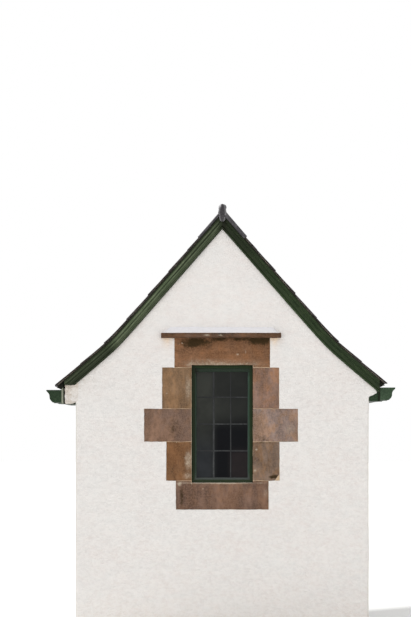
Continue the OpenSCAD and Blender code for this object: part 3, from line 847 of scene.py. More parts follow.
ROUGHCAST = Limewash("limewashed_roughcast", "roughcast")
PLASTER = Limewash("inner_limewash", "roughcast", (0.72, 0.69, 0.64), (0.66, 0.62, 0.56), (0.6, 0.59, 0.56),
                   crest_highlight=(0.76, 0.73, 0.68), grit=1.2 * MM)
MORTAR = Limewash("lime_mortar", "lime_mortar", (0.44, 0.36, 0.28), (0.39, 0.30, 0.22), (0.41, 0.36, 0.31),
                  (0.36, 0.29, 0.19), crest_highlight=(0.46, 0.38, 0.30), grit=0.8 * MM)
JOINT_MORTAR = Limewash("joint_mortar", "lime_mortar", (0.60, 0.43, 0.29), (0.54, 0.38, 0.24),
                        (0.56, 0.43, 0.31), (0.50, 0.38, 0.22), crest_highlight=(0.62, 0.46, 0.32), grit=0.8 * MM)
VERGE_MORTAR = Limewash("verge_mortar", "lime_mortar", (0.42, 0.36, 0.27), (0.34, 0.27, 0.19),
                        (0.38, 0.34, 0.28), (0.024, 0.019, 0.013), crest_highlight=(0.44, 0.38, 0.29), grit=0.8 * MM)
WEATHERING = Limewash("lime_weathering", "lime_mortar", (0.80, 0.79, 0.83), (0.77, 0.76, 0.79),
                      (0.75, 0.75, 0.79), grit=0.6 * MM)
LINTEL_STONE = Sandstone("lintel_sandstone", "sandstone", (0.197, 0.096, 0.048), 1.5, 0.3)
BROWN_STONE = Sandstone("brown_sandstone", "sandstone", (0.197, 0.117, 0.064), 0.1, 0.3)
DUSKY_STONE = Sandstone("dusky_sandstone", "sandstone", (0.175, 0.107, 0.076), -0.12, 0.35)
RED_STONE = Sandstone("red_sandstone", "sandstone", (0.163, 0.080, 0.037), 0.2, 0.3)
PINK_STONE = Sandstone("pink_sandstone", "sandstone", (0.222, 0.129, 0.088), 0.0, 0.75)
PALE_STONE = Sandstone("pale_sandstone", "sandstone", (0.238, 0.160, 0.124), 0.15, 0.75)
GREY_STONE = Sandstone("grey_sandstone", "sandstone", (0.153, 0.089, 0.061), 0.0, 0.35)
DRAB_STONE = Sandstone("drab_sandstone", "sandstone", (0.171, 0.108, 0.071), 0.2, 0.85)
DRIP_STONE = Sandstone("drip_sandstone", "sandstone", (0.105, 0.057, 0.034), 1.4)
GREEN_PAINT = Paint("green_gloss_paint", "green_joinery")
# Lit and shaded copies of one green paint: sunlight is painted into the left side's colours and shade into
# the right side's.
SUNNY_PAINT = Paint("faded_green_paint", "green_joinery", (0.090, 0.124, 0.062), (0.225, 0.265, 0.165),
                    (0.05, 0.055, 0.035), 0.5, Grain.SLOPE, (0.008, 0.0125, 0.0038))
SHADY_PAINT = Paint("shaded_green_paint", "green_joinery", (0.017, 0.033, 0.012), (0.048, 0.074, 0.030),
                    (0.028, 0.030, 0.020), 0.45, Grain.SLOPE)
TEAL_PAINT = Paint("teal_casement_paint", "casement_green", (0.024, 0.050, 0.031), (0.042, 0.080, 0.056),
                   (0.085, 0.085, 0.083), gloss=0.4)
IRON_PAINT = Paint("gutter_paint", "gutter_iron", (0.010, 0.025, 0.010), (0.034, 0.058, 0.028),
                   grain=Grain.ALONG)
PALE_IRON_PAINT = Paint("pale_gutter_paint", "gutter_iron", (0.022, 0.045, 0.022), (0.070, 0.112, 0.064),
                        grain=Grain.ALONG)
ROOF_SLATES = Slates("riven_slate", "slate")
LEAD = SheetLead("sheet_lead", "lead")
CAME_LEAD = SheetLead("came_lead", "lead", (0.026, 0.028, 0.029), (0.06, 0.063, 0.064), (0.014, 0.015, 0.016))
DECK_TIMBER = Timber("deck_boards", "roof_timber", Grain.ALONG)
CROSS_TIMBER = Timber("cross_timber", "roof_timber", Grain.ACROSS)
RAFTER_TIMBER = Timber("rafter_timber", "roof_timber", Grain.SLOPE)
GLASS = OldGlass("old_glass", "leaded_lights")
BLACK_IRON = Iron("black_iron", "black_iron")
INNER_PAINT = Paint("window_board_paint", "inner_paint", (0.62, 0.6, 0.55), (0.7, 0.68, 0.63),
                    (0.5, 0.47, 0.4), 0.45)


def place(name: str, data: bpy.types.ID) -> bpy.types.Object:
    """Puts a new object with this data into the scene.

    Args:
        name: name of the object.
        data: mesh, light or camera.
    Returns:
        The object.
    """
    made = bpy.data.objects.new(name, data)
    bpy.context.scene.collection.objects.link(made)
    return made


def add_piece(name: str, solid: Solid, finish: Finish, replaces: Sequence[str] = (),
              crease: float = CRISP) -> None:
    """Puts a solid into the scene as a piece of the bay.

    Args:
        name: name of the piece.
        solid: its surface and marks, with x counted from the line of the ridge.
        finish: what it is finished with.
        replaces: nodes that the piece stands for.
        crease: angle in degrees past which an edge stays sharp.
    """
    mesh = bpy.data.meshes.new(name)
    mesh.from_pydata((solid.points + (MIDDLE, 0, 0)).tolist(), [], solid.faces.tolist())
    mesh.update()
    mesh.shade_smooth()
    mesh.set_sharp_from_angle(angle=math.radians(crease))
    for mark, values in solid.marks.items():
        mesh.attributes.new(mark, "FLOAT", "POINT").data.foreach_set("value", values.astype(np.float32))
    mesh.materials.append(finish.material())
    piece = place(name, mesh)
    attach(piece, BODY)
    if replaces:
        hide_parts(*replaces)
    log.info("%-24s %7d faces", name, len(solid.faces))


def dress(finish: Finish, *nodes: str) -> None:
    """Gives nodes of the frame a finish.

    Args:
        finish: the finish.
        nodes: names of the nodes.
    """
    for name in nodes:
        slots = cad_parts[name].data.materials
        slots.clear()
        slots.append(finish.material())
        log.info("%-24s dressed with %s", name, finish.name)


@dataclass
class Roughcast:
    """The limewashed coat on the walls, with the kneelers under the feet of the gable."""

    site: Site
    step: float = 15 * MM
    coat: float = 5 * MM
    arris: float = 22 * MM
    bite: float = 3 * MM
    seam: float = 5 * MM
    roll_in: float = 14 * MM
    touch: float = 0.01 * MM
    stray: float = 3 * MM
    lump: float = 45 * MM
    smoother: tuple[float, float] = (2.2, 3.0)
    board_cover: float = 50 * MM
    noise = Noise(11)
    stones: tuple[str, ...] = (
        "dripstone", "lintel", "sill", "left_upper_quoin", "left_long_quoin", "left_lower_quoin",
        "right_upper_quoin", "right_long_quoin", "right_lower_quoin", "window_frame")

    def build(self) -> None:
        """Makes the coat and the kneelers and dresses the walls behind them."""
        add_piece("roughcast_coat", self.wall_coat(), ROUGHCAST, crease=SOFT)
        for side in Side:
            add_piece(side.node("kneeler_lump"), self.kneeler(side), ROUGHCAST, [side.node("kneeler")], SOFT)
        dress(PLASTER, "front_wall", "left_side_wall", "right_side_wall")

    def relief(self, points: Array) -> Array:
        """Thickness of the coat: slow hollows, trowel swells and lumps of harling, added up.

        Args:
            points: places on the face.
        Returns:
            Thickness in metres.
        """
        slow = self.noise(points, 0.42, 2) * 2.6 * MM
        swell = self.noise(points * (1, 1, 1.8), 0.11, 2) * 1.3 * MM
        lumps = np.abs(self.noise(points, 0.028)) * 1.6 * MM
        return self.coat + slow + swell + lumps

    def outline_distance(self, x: Array, z: Array) -> Array:
        """Distance from the nearest stone or window outline, 0 inside one."""
        return np.minimum.reduce([box_of(stone).distance(x, z) for stone in self.stones])

    def plan(self, front_x: Array, side_y: Array) -> tuple[Array, Array, Array, Array]:
        """The coat's line in plan, from the left end round both corners to the right end.

        Args:
            front_x: lines across the front.
            side_y: lines along a side, from the front.
        Returns:
            x and y of the face, and of the direction outwards.
        """
        s, turn = self.site, np.radians(np.linspace(15, 75, 5))
        x = np.append(s.half_w - self.arris + self.arris * np.sin(turn), s.half_w + 0 * side_y)
        y = np.append(s.front + self.arris - self.arris * np.cos(turn), side_y)
        nx, ny = np.append(np.sin(turn), 1 + 0 * side_y), np.append(-np.cos(turn), 0 * side_y)
        across, front = 0 * front_x, s.front + 0 * front_x
        mirrored = ((x, front_x, -1), (y, front, 1), (nx, across, -1), (ny, across - 1, 1))
        return tuple(np.concatenate([sign * end[::-1], mid, end]) for end, mid, sign in mirrored)

    def wall_coat(self) -> Solid:
        """The coat: the plan line carried up in z and pushed out by the relief.

        It leaves out the stones and what lies over the gable line, and rolls in to the stones.

        Returns:
            The coat.
        """
        s = self.site
        corners = [corner for stone in self.stones for corner in box_of(stone)]
        near = (-self.seam, 0, self.seam)
        edges_x = [corner.x + off for corner in corners for off in near]
        edges_z = [corner.z + off for corner in corners for off in near]
        front_x = lines([self.arris - s.half_w, *edges_x, s.half_w - self.arris], self.step)
        side_y = lines([s.front + self.arris, s.back], self.step * 1.3)
        z = lines([0, *edges_z, s.wall_top, s.slope.height(0, self.board_cover)], self.step)[None]
        x, y, nx, ny = (a[:, None] for a in self.plan(front_x, side_y))
        points = grid(x, y, z)
        facing = ny == -1
        gap = np.where(facing, self.outline_distance(x, z), FAR)
        wander = np.exp(-gap / (25 * MM)) * facing * self.stray
        points[..., 0] += self.noise(points, self.lump, 2) * wander
        points[..., 2] += self.noise(points + 5, self.lump, 2) * wander
        out = self.bite + (self.relief(points) - self.bite) * np.sqrt(ease(gap, -MM, self.roll_in))
        front = points + grid(nx * out, ny * out, 0)
        back = points - grid(nx, ny, 0) * self.bite
        (mid_x, mid_z), (mid_y, _) = middles(x, z), middles(y, z)
        gable = s.slope.height(np.abs(mid_x), self.board_cover)
        top = np.where(mid_y < s.front + self.arris, gable, s.wall_top)
        on_stone = (mid_y < s.front + MM) & (self.outline_distance(mid_x, mid_z) < self.touch)
        # How rough the wash is, less high up; it sets the bumps and the painted shade and highlight of the
        # grit.
        rough = 1 - 0.7 * ease(points[..., 2], *self.smoother)
        keep = (mid_z < top) & ~on_stone
        return shell(front, back, keep, damp=self.damp(points), soot=self.soot(points), rough=rough)

    def damp(self, points: Array) -> Array:
        """Stain under the dripstone's ends, coloured also to lift them out of their shade, and splashed up
        from the ground.

        Args:
            points: places on the face.
        Returns:
            Strength at each place.
        """
        x, z = points[..., 0], points[..., 2]
        low, high = box_of("dripstone")
        under = np.exp(-np.clip(low.z - z, 0, 1) / (42 * MM)) * (z < low.z)
        out = np.abs(x - (low.x + high.x) / 2) - (high.x - low.x) / 2
        ends = np.exp(-((out + 60 * MM) / (48 * MM)) ** 2) * under
        ground = 0.3 * np.exp(-z / 0.12)
        return np.clip(1.3 * ends + ground, 0, 1) * (points[..., 1] < self.site.front + self.arris + MM)

    def soot(self, points: Array) -> Array:
        """Smudges below the boards, more on the left, and round the left eaves.

        Args:
            points: places on the face.
        Returns:
            Strength at each place.
        """
        x, z = points[..., 0], points[..., 2]
        below = (self.site.slope.height(np.abs(x), GableJoinery.deep) - z) * math.cos(self.site.slope.pitch)
        near = 0.35 * np.exp(-np.clip(below, 0, 1) / (70 * MM)) * ease(-x, -1.0, 0.5)
        away = ((x + self.site.half_w) / 0.16) ** 2 + ((z - self.site.wall_top - 0.2) / 0.2) ** 2
        eaves = 0.8 * np.exp(-away)
        return (near + eaves) * (0.7 + 0.3 * self.noise(points + 21, 0.16, 2))

    def kneeler(self, side: Side) -> Solid:
        """A rough corbel beside the wall's corner, level on the left and sloping up and out on the right.

        Args:
            side: which side.
        Returns:
            The corbel.
        """
        s, (lo, hi) = self.site, box_of(side.node("kneeler"))
        reach = max(abs(lo.x), abs(hi.x))
        across = lines([s.half_w - self.arris, s.half_w, reach], 9 * MM)[:, None]
        share = np.clip((across - s.half_w) / (reach - s.half_w), 0, 1)
        rise = 22 * MM * (1 - share) ** 2 if side is Side.LEFT else 47 * MM * share
        foot = lo.z + rise + self.noise(grid(across, 3.1, 0), 0.024, 2) * 7 * MM
        head = s.slope.height(across, Deck.thickness)
        up = np.linspace(0, 1, 30)[None]
        z = foot + (head - foot) * up
        points = side.grid(across, s.front, z)
        ragged = self.noise(points, 0.035, 2) * 4 * MM * share
        points[..., 0] += side.value * (ragged - 3 * MM * share)
        roll = ease(np.minimum(z - foot, (reach - across) + 0 * z), 0, 9 * MM)
        front = points - grid(0, self.relief(points) * np.sqrt(roll), 0)
        back = points + (0, hi.y - s.front, 0)
        soot, damp = (2.2, 0.6) if side is Side.LEFT else (0.2, 0.15)
        damp = damp * ease(z, foot + 0.05, head)
        return shell(front, back, damp=damp, soot=soot * (0.5 + 0.5 * share), rough=0.3)


@dataclass(frozen=True)
class Block:
    """One dressed stone: its node, its finish, and how much it is stained and rubbed."""

    node: str
    finish: Finish
    algae: float = 0.3
    lime: float = 0.25


@dataclass(frozen=True)
class Stain:
    """A soft patch on the faces of the stones."""

    x: float
    z: float
    wide: float
    high: float
    depth: float = 1.0

    def at(self, x: Array, z: Array) -> Array:
        """Strength at a place, a bell that falls off over the patch's half width and half height."""
        return self.depth * np.exp(-((x - self.x) / self.wide) ** 2 - ((z - self.z) / self.high) ** 2)


@dataclass
class Dressings:
    """The sandstone blocks round the window, with the mortar that they are bedded in."""

    site: Site
    recess: float = 1.5 * MM
    joint: float = 1.9 * MM
    arris: float = 4.5 * MM
    step: float = 9 * MM
    bed_recess: float = 5.5 * MM
    bed_depth: float = 30 * MM
    noise = Noise(23)
    blocks: tuple[Block, ...] = (
        Block("lintel", LINTEL_STONE, 0.35, 0.35), Block("sill", GREY_STONE, 0.15, 0.25),
        Block("left_upper_quoin", BROWN_STONE, 0.2, 0.2), Block("left_long_quoin", DUSKY_STONE, 0.2, 0.2),
        Block("left_lower_quoin", RED_STONE, 0.15, 0.2), Block("right_upper_quoin", PINK_STONE, 0.15, 0.2),
        Block("right_long_quoin", PALE_STONE, 0.1, 0.3), Block("right_lower_quoin", DRAB_STONE, 0.25, 0.4))
    algae_and_shadow: tuple[Stain, ...] = (Stain(-0.27, 2.79, 0.13, 0.05, 1.0), Stain(0.35, 2.82, 0.13, 0.05, 0.95),
        Stain(-0.02, 2.83, 0.06, 0.025, 0.65), Stain(0.15, 2.83, 0.06, 0.022, 0.55),
        Stain(-0.47, 2.0, 0.07, 0.15, 0.36), Stain(0.45, 1.62, 0.08, 0.08, 0.4),
        Stain(0.49, 1.505, 0.045, 0.018, 0.9), Stain(-0.388, 1.30, 0.02, 0.12, 0.75),
        # The last patch is a painted shadow line on the stone along the frame's right edge.
        Stain(0.40, 1.87, 0.08, 0.05, 0.45), Stain(0.291, 2.0, 0.005, 0.7, 1.0))
    rubbed: tuple[Stain, ...] = (Stain(-0.03, 2.607, 0.6, 0.045, 0.36),
        Stain(0.02, 2.586, 0.32, 0.01, 0.24), Stain(0.149, 2.681, 0.011, 0.009),
        Stain(0.226, 2.707, 0.007, 0.022, 0.8), Stain(-0.33, 2.36, 0.035, 0.16, 0.55),
        Stain(-0.533, 2.306, 0.009, 0.009), Stain(-0.33, 1.66, 0.036, 0.10, 0.75),
        Stain(0.345, 2.36, 0.018, 0.2, 0.3), Stain(0.65, 1.96, 0.07, 0.07, 0.5),
        Stain(0.329, 1.767, 0.012, 0.01, 0.9), Stain(0.316, 1.565, 0.014, 0.012, 0.8),
        Stain(-0.41, 1.43, 0.02, 0.02, 0.8), Stain(0.42, 1.35, 0.03, 0.07, 0.5),
        Stain(-0.185, 1.39, 0.01, 0.008, 0.9), Stain(-0.008, 1.444, 0.33, 0.009, 0.85),
        Stain(-0.294, 1.96, 0.005, 0.5, 1.0), Stain(-0.34, 1.51, 0.05, 0.035, 0.5),
        Stain(-0.37, 1.452, 0.06, 0.013, 0.3), Stain(0.37, 1.45, 0.05, 0.015, 0.35))

    def build(self) -> None:
        """Makes each block and the bed behind them."""
        for block in self.blocks:
            add_piece(block.node + "_block", self.block(block), block.finish, [block.node], FIRM)
        add_piece("stone_bedding", self.bed(), JOINT_MORTAR, crease=SOFT)

    @property
    def opening(self) -> Box:
        """The window's opening."""
        return box_of("window_frame")

    def limits(self, node: str) -> tuple[float, float, float, float]:
        """The block's sides less half a joint, but whole at the opening and under the dripstone.

        Args:
            node: which stone.
        Returns:
            Left and right, lower and upper edge.
        """
        (lo, hi), gap = box_of(node), self.opening
        left = lo.x if abs(lo.x - gap.high.x) < MM else lo.x + self.joint
        right = hi.x if abs(hi.x - gap.low.x) < MM else hi.x - self.joint
        return left, right, lo.z + self.joint, hi.z + (2 * MM if node == "lintel" else -self.joint)

    def block(self, block: Block) -> Solid:
        """A block: a flat face dropped in an arc at its arrises, with hollows, tool marks and chips.

        The drop at a distance d inside an edge is r - sqrt(r^2 - (r - d)^2) for the radius r.

        Args:
            block: which stone.
        Returns:
            The stone.
        """
        (left, right, low, high), gap = self.limits(block.node), self.opening
        inner = [v for v in (gap.low.x, gap.high.x) if left < v < right]
        edge = self.arris * np.array([0.25, 0.6, 1.0])
        x = lines([left, right, *(left + edge), *(right - edge), *inner], self.step)[:, None]
        notch = [gap.low.z, *(gap.low.z - edge), gap.high.z, *(gap.high.z + edge)] if inner else []
        levels = [v for v in notch if low < v < high]
        z = lines([low, high, *(low + edge), *(high - edge), *levels], self.step)[None]
        above = high - z + (self.arris * 2 if block.node == "lintel" else 0)
        inside = np.minimum(np.minimum(x - left, right - x), np.minimum(z - low, above))
        if inner:
            inside = np.minimum(inside, gap.distance(x, z))
        points = grid(x, self.site.front, z)
        worn = self.arris * (1 + 0.5 * self.noise(points, 0.06))
        short = np.clip(worn - inside, 0, worn)
        drop = worn - np.sqrt(np.maximum(worn ** 2 - short ** 2, 0))
        hollow = self.noise(points, 0.16, 3) * 1.6 * MM + self.noise(points * (6, 1, 1), 0.09, 2) * 0.6 * MM
        chip = self.chip(block.node, x, z, right, low)
        deep = self.recess + np.maximum(drop + hollow, 0) + chip * 9 * MM
        wander = ease(self.arris - inside, 0, self.arris) * self.noise(points + 9, 0.05, 2) * 2 * MM
        front = points + grid(wander * (x != 0), deep, wander)
        back = grid(x, box_of(block.node).high.y, z)
        keep = gap.distance(*middles(x, z)) > 0.1 * MM
        return shell(front, back, keep, **self.stains(block, points, high, low, chip))

    def chip(self, node: str, x: Array, z: Array, right: float, low: float) -> Array:
        """How far a broken corner is gone: 1 at the lower right corner of one stone, 0 elsewhere.

        Args:
            node: which stone.
            x: places across.
            z: places up.
            right: its right edge.
            low: its lower edge.
        Returns:
            Share of the corner that is gone.
        """
        if node != "right_lower_quoin":
            return 0 * (x + z)
        away = (right - x) / (52 * MM) + (z - low) / (62 * MM)
        return ease(1.05 + 0.25 * self.noise(grid(x, 0, z), 0.03, 2) - away, 0, 0.35)

    def stains(self, block: Block, points: Array, high: float, low: float, chip: Array) -> dict[str, Array]:
        """Algae from the top down, lime where the face is rubbed or chipped, and the known patches, one a
        painted shadow.

        Args:
            block: which stone.
            points: places on its face.
            high: its upper edge.
            low: its lower edge.
            chip: how far its corner is gone.
        Returns:
            The marks of its finish.
        """
        x, z = points[..., 0], points[..., 2]
        slow = 0.5 + 0.5 * self.noise(points, 0.13, 2)
        top = np.exp(-(high - z) / (45 * MM)) * slow
        near = np.exp(-self.opening.distance(x, z) / (50 * MM))
        foot = np.exp(-(z - low) / (22 * MM))
        algae = sum((patch.at(x, z) for patch in self.algae_and_shadow), block.algae * (0.4 * slow + 0.8 * top))
        worn = block.lime * (0.35 * slow + 0.4 * near + 0.5 * foot) + chip
        lime = sum((patch.at(x, z) for patch in self.rubbed), worn)
        return {"algae": np.clip(algae, 0, 1), "lime": np.clip(lime, 0, 1)}

    def bed(self) -> Solid:
        """Mortar in the joints: a slab over the outlines of all blocks, less the opening.

        Returns:
            The mortar.
        """
        boxes = [box_of(block.node) for block in self.blocks]
        x = lines([corner.x for box in boxes for corner in box], self.step)[:, None]
        z = lines([self.opening.low.z, *(corner.z for box in boxes for corner in box)], self.step)[None]
        cells = middles(x, z)
        covered = np.logical_or.reduce([box.distance(*cells) == 0 for box in boxes])
        covered &= self.opening.distance(*cells) > 0
        points = grid(x, self.site.front + self.bed_recess, z)
        front = points + grid(0, self.noise(points, 0.03, 2) * 1.5 * MM, 0)
        return shell(front, points + (0, self.bed_depth, 0), covered, damp=0.3)


@dataclass
class Hood:
    """The dripstone over the lintel and the lime weathering on its back."""

    site: Site
    step: float = 10 * MM
    nose: float = 7 * MM
    face: float = 0.45
    worn: float = 0.06
    hip: float = 90 * MM
    noise = Noise(31)

    def build(self) -> None:
        """Makes the stone and its weathering."""
        add_piece("dripstone_slab", self.slab(), DRIP_STONE, ["dripstone"], FIRM)
        add_piece("dripstone_weathering", self.weathering(), WEATHERING, ["dripstone_fillet"], SOFT)

    def slab(self) -> Solid:
        """A slab with a rounded and flaked front edge: two lines, under and over, that meet at the nose.

        Returns:
            The dripstone.
        """
        lo, hi = box_of("dripstone")
        x = lines([lo.x, lo.x + 4 * MM, hi.x - 4 * MM, hi.x], self.step)[:, None]
        turn = np.linspace(0, math.pi / 2, 6)
        depth = np.concatenate([[hi.y - lo.y, 0.09, 0.05], self.nose * (1 - np.sin(turn)), [0]])[None]
        level = np.concatenate([[0, 0, 0], self.nose * (1 - np.cos(turn)), [self.face * (hi.z - lo.z)]])[None]
        where = grid(x, 0, level)
        flake = np.maximum(self.noise(where, 0.10, 3) - 0.1, 0) * 20 * MM * ease(self.worn - depth, 0, 0.05)
        ends = np.maximum(4 * MM - np.minimum(x - lo.x, hi.x - x), 0)
        y = lo.y + depth + flake + ends + self.noise(where, 0.03) * 1.2 * MM * (depth < self.worn)
        rough = self.noise(where + 3, 0.05, 2) * 1.5 * MM * (depth < self.worn)
        lift = 5 * MM * ease(0.07 - depth, 0, 0.07) * (1 - level / (hi.z - lo.z) / self.face)
        under = grid(x, y, lo.z + level + lift + rough + 0.5 * ends)
        top = grid(x, y, hi.z - level + 0.6 * rough - 0.5 * ends)
        slow = 0.5 + 0.5 * self.noise(where, 0.2, 2)
        spots = 0.9 * np.exp(-((x + 0.15) / 0.035) ** 2) + 0.55 * np.exp(-((x + 0.02) / 0.025) ** 2)
        lime = 0.25 * slow + spots * ease(level, 0.004, 0.02)
        return shell(under, top, algae=0.35 * slow + 0.1, lime=lime)

    def weathering(self) -> Solid:
        """A bank of lime, hipped at its ends, whose depth falls evenly from foot to top.

        Returns:
            The bank of lime.
        """
        lo, hi = box_of("dripstone_fillet")
        up = np.linspace(0, 1, 12)[None]
        half = (hi.x - lo.x) / 2 - self.hip * up
        across = np.linspace(-1, 1, 210)[:, None]
        mid = (lo.x + hi.x) / 2
        x, z = mid + across * half, lo.z - 1 * MM + (hi.z - lo.z + 2 * MM) * up
        points = grid(x, 0, z)
        bank = (self.site.front - lo.y) * (1 - up) * 0.96
        ends = np.sqrt(ease(half - np.abs(x - mid), -1 * MM, 26 * MM))
        depth = 6 * MM + bank * (0.25 + 0.75 * ends) + self.noise(points, 0.06, 3) * 3.0 * MM
        wander = self.noise(points + 4, 0.05, 2) * 4 * MM * ease(up, 0.5, 1.0)
        front = points + grid(0, self.site.front - np.maximum(depth, 1 * MM), wander)
        back = points + grid(0, self.site.front + 3 * MM, 0 * wander)
        return shell(front, back, damp=0.12 * np.exp(-up / 0.2))


@dataclass
class LeadedWindow:
    """The fixed frame, the casement and its lights: panes of old glass held in lead cames."""

    site: Site
    across: int = 3
    high: int = 4
    came: float = 11 * MM
    came_rise: float = 2.6 * MM
    solder: float = 8 * MM
    top_rail: float = 0.9
    pane_t: float = 2.4 * MM
    tilt: float = 0.010
    noise = Noise(47)

    def build(self) -> None:
        """Makes the joinery and the lights, and finishes what the frame holds inside."""
        add_piece("window_frame_moulded", self.ring("window_frame", self.frame_section()), GREEN_PAINT,
                  ["window_frame"])
        add_piece("casement_moulded", self.ring("casement", self.casement_section()), TEAL_PAINT,
                  ["casement"])
        add_piece("glass_panes", self.panes(), GLASS, ["leaded_glass"])
        add_piece("cames", self.cames(), CAME_LEAD)
        add_piece("sill_pointing", self.pointing(), MORTAR, crease=SOFT)
        dress(INNER_PAINT, "window_board")
        dress(CROSS_TIMBER, "inner_lintel")
        dress(BLACK_IRON, "casement_handle", "casement_stay")

    @staticmethod
    def frame_section() -> Array:
        """Section of the frame as pairs of share of the face and depth behind its front.

        Returns:
            The section from the outer to the inner edge.
        """
        turn = np.linspace(0, math.pi / 2, 5)
        arris = np.stack([0.05 * (1 - np.sin(turn)), 2 * MM * (1 - np.cos(turn))], axis=1)[::-1]
        bead = np.stack([0.82 + 0.18 * np.sin(turn), 6 * MM * (1 - np.cos(turn))], axis=1)
        return np.concatenate([[[0, 30 * MM]], arris[:0:-1][::-1], [[0.4, 0]], bead, [[1, 30 * MM]]])

    @staticmethod
    def casement_section() -> Array:
        """Section of the casement: a square outer edge and an ovolo that falls to the glass.

        Returns:
            The section from the outer to the inner edge.
        """
        turn = np.linspace(0, math.pi / 2, 7)
        ovolo = np.stack([0.42 + 0.5 * np.sin(turn), 3 * MM + 9 * MM * (1 - np.cos(turn))], axis=1)
        outer = [[0, 20 * MM], [0, 1 * MM], [0.07, 0], [0.42, 0]]
        return np.concatenate([outer, ovolo, [[1, 14 * MM], [1, 20 * MM]]])

    def ring(self, node: str, section: Array) -> Solid:
        """Carries a section round the four sides of a node's box, mitred at the corners.

        Args:
            node: node that gives the outer sides and the depth.
            section: pairs of share of the face and depth behind the front.
        Returns:
            The ring.
        """
        lo, hi = box_of(node)
        sash = node == "casement"
        face = box_of("leaded_glass" if sash else "casement").low.x - lo.x
        turns = np.array(SQUARE)
        share = np.linspace(0, 1, 14, endpoint=False)[None, :, None]
        corners = (turns[:, None] + share * (np.roll(turns, -1, axis=0) - turns)[:, None]).reshape(-1, 1, 2)
        inset = section[:, 0] * face
        half = np.array([(hi.x - lo.x) / 2, (hi.z - lo.z) / 2])
        mid = np.array([(hi.x + lo.x) / 2, (hi.z + lo.z) / 2])
        rail = self.top_rail * sash
        at = mid + corners * (half - inset[:, None] * (1 + rail * np.maximum(corners, 0) * (0, 1)))
        y = lo.y + section[:, 1]
        front = grid(at[..., 0], y, at[..., 1])
        front += self.noise(front, 0.09, 2)[..., None] * 0.5 * MM
        back = grid(at[..., 0], hi.y, at[..., 1])
        from_left, from_right = front[..., 0] - lo.x, hi.x - front[..., 0]
        from_foot, from_head = front[..., 2] - lo.z, hi.z - front[..., 2]
        blur = 4 * MM
        at_foot = ease(face + blur / 2 - from_foot, 0, blur)
        dirt = 0.6 * np.exp(-from_foot / (30 * MM)) + ease(section[:, 0], 0.75, 0.95) * 0.3
        dirt = dirt + 0.3 * at_foot * sash
        shade = 0.45 * ease(face + blur / 2 - from_left, 0, blur)
        shade = shade + 0.6 * ease(face * (1 + rail) + blur / 2 - from_head, 0, blur) * sash
        shade = (shade + 0.5 * ease(9 * MM - from_right, 0, 6 * MM) * (not sash)) * (1 - at_foot)
        return shell(front, back, loop=True, dirt=np.clip(dirt, 0, 1), shade=np.clip(shade, 0, 1))

    def lights(self) -> tuple[Array, Array, float]:
        """Lines between the lights in x and z, and the depth of their middle.

        Returns:
            Both rows of lines, and the depth.
        """
        lo, hi = box_of("leaded_glass")
        return (np.linspace(lo.x, hi.x, self.across + 1), np.linspace(lo.z, hi.z, self.high + 1),
                (lo.y + hi.y) / 2)

    def panes(self) -> Solid:
        """Panes that are each tilted a little about both axes and bowed in the middle.

        The sky shows at the left and above, bluer at the lower left, and the lower right is brownish. Two
        shares of light a and b add up as a + b - a b.

        Returns:
            All panes.
        """
        x_lines, z_lines, depth = self.lights()
        wide, tall = x_lines[-1] - x_lines[0], z_lines[-1] - z_lines[0]
        rng = np.random.default_rng(5)
        made = []
        for x0, x1 in zip(x_lines, x_lines[1:]):
            for z0, z1 in zip(z_lines, z_lines[1:]):
                u, v = np.linspace(-1, 1, 9)[:, None], np.linspace(-1, 1, 11)[None]
                lean = rng.uniform(-1, 1, 2) * self.tilt * 0.5
                bow = rng.uniform(-0.8, 0.8) * MM * (1 - u * u) * (1 - v * v)
                y = depth + lean[0] * u * (x1 - x0) + lean[1] * v * (z1 - z0) + bow
                x, z = (x0 + x1 + u * (x1 - x0)) / 2, (z0 + z1 + v * (z1 - z0)) / 2
                left, upper = (x_lines[-1] - x) / wide, (z - z_lines[0]) / tall
                # Painted reflection of the sky, at the left and above; the tone mark turns it blue at the
                # lower left and the warm mark lays a brown tint at the lower right.
                beside = 0.66 * ease(left, 0.55, 0.78)
                above = ease(upper, 0.42, 0.62) * (0.34 + 0.22 * left + 0.16 * upper)
                sky = beside + above - beside * above + rng.uniform(-0.04, 0.04)
                marks = {"sky": np.clip(sky, 0, 1), "tone": ease(left, 0.5, 0.8) * ease(0.5 - upper, 0, 0.35),
                         "warm": 0.75 * ease(0.4 - left, 0, 0.1) * ease(0.3 - upper, 0, 0.1)}
                half = self.pane_t / 2
                made.append(shell(grid(x, y - half, z), grid(x, y + half, z), **marks))
        return joined(made)

    def strip(self, along: Array, across: float, upright: bool, width: float) -> Solid:
        """One came: a low dome on both sides of the glass.

        Args:
            along: stations along the came.
            across: place of its centre line.
            upright: whether it stands or lies.
            width: full width.
        Returns:
            The came.
        """
        side = np.linspace(-1, 1, 7)[None]
        rise = self.came_rise * np.sqrt(1 - 0.85 * side ** 2)
        a = along[:, None]
        wander = self.noise(grid(a, across, 0), 0.12) * 0.9 * MM
        b = across + wander + side * width / 2
        depth = self.lights()[2] + 0 * a
        x, z = (b, a) if upright else (a, b)
        # Painted shade: darker towards the top, on the uprights at the right and on the rails at the left; a
        # faint painted highlight low down.
        beside = 0.75 * ease(-a, 0.07, 0.11) if not upright else 0.0
        dim = np.clip(0.5 * ease(z, 2.0, 2.4) + 0.45 * ease(x, 0.05, 0.08) * upright + beside, 0, 1)
        return shell(grid(x, depth - self.pane_t / 2 - rise, z), grid(x, depth + self.pane_t / 2 + rise, z),
                     dim=dim, bright=0.006 * ease(2.1 - z, 0, 0.3))

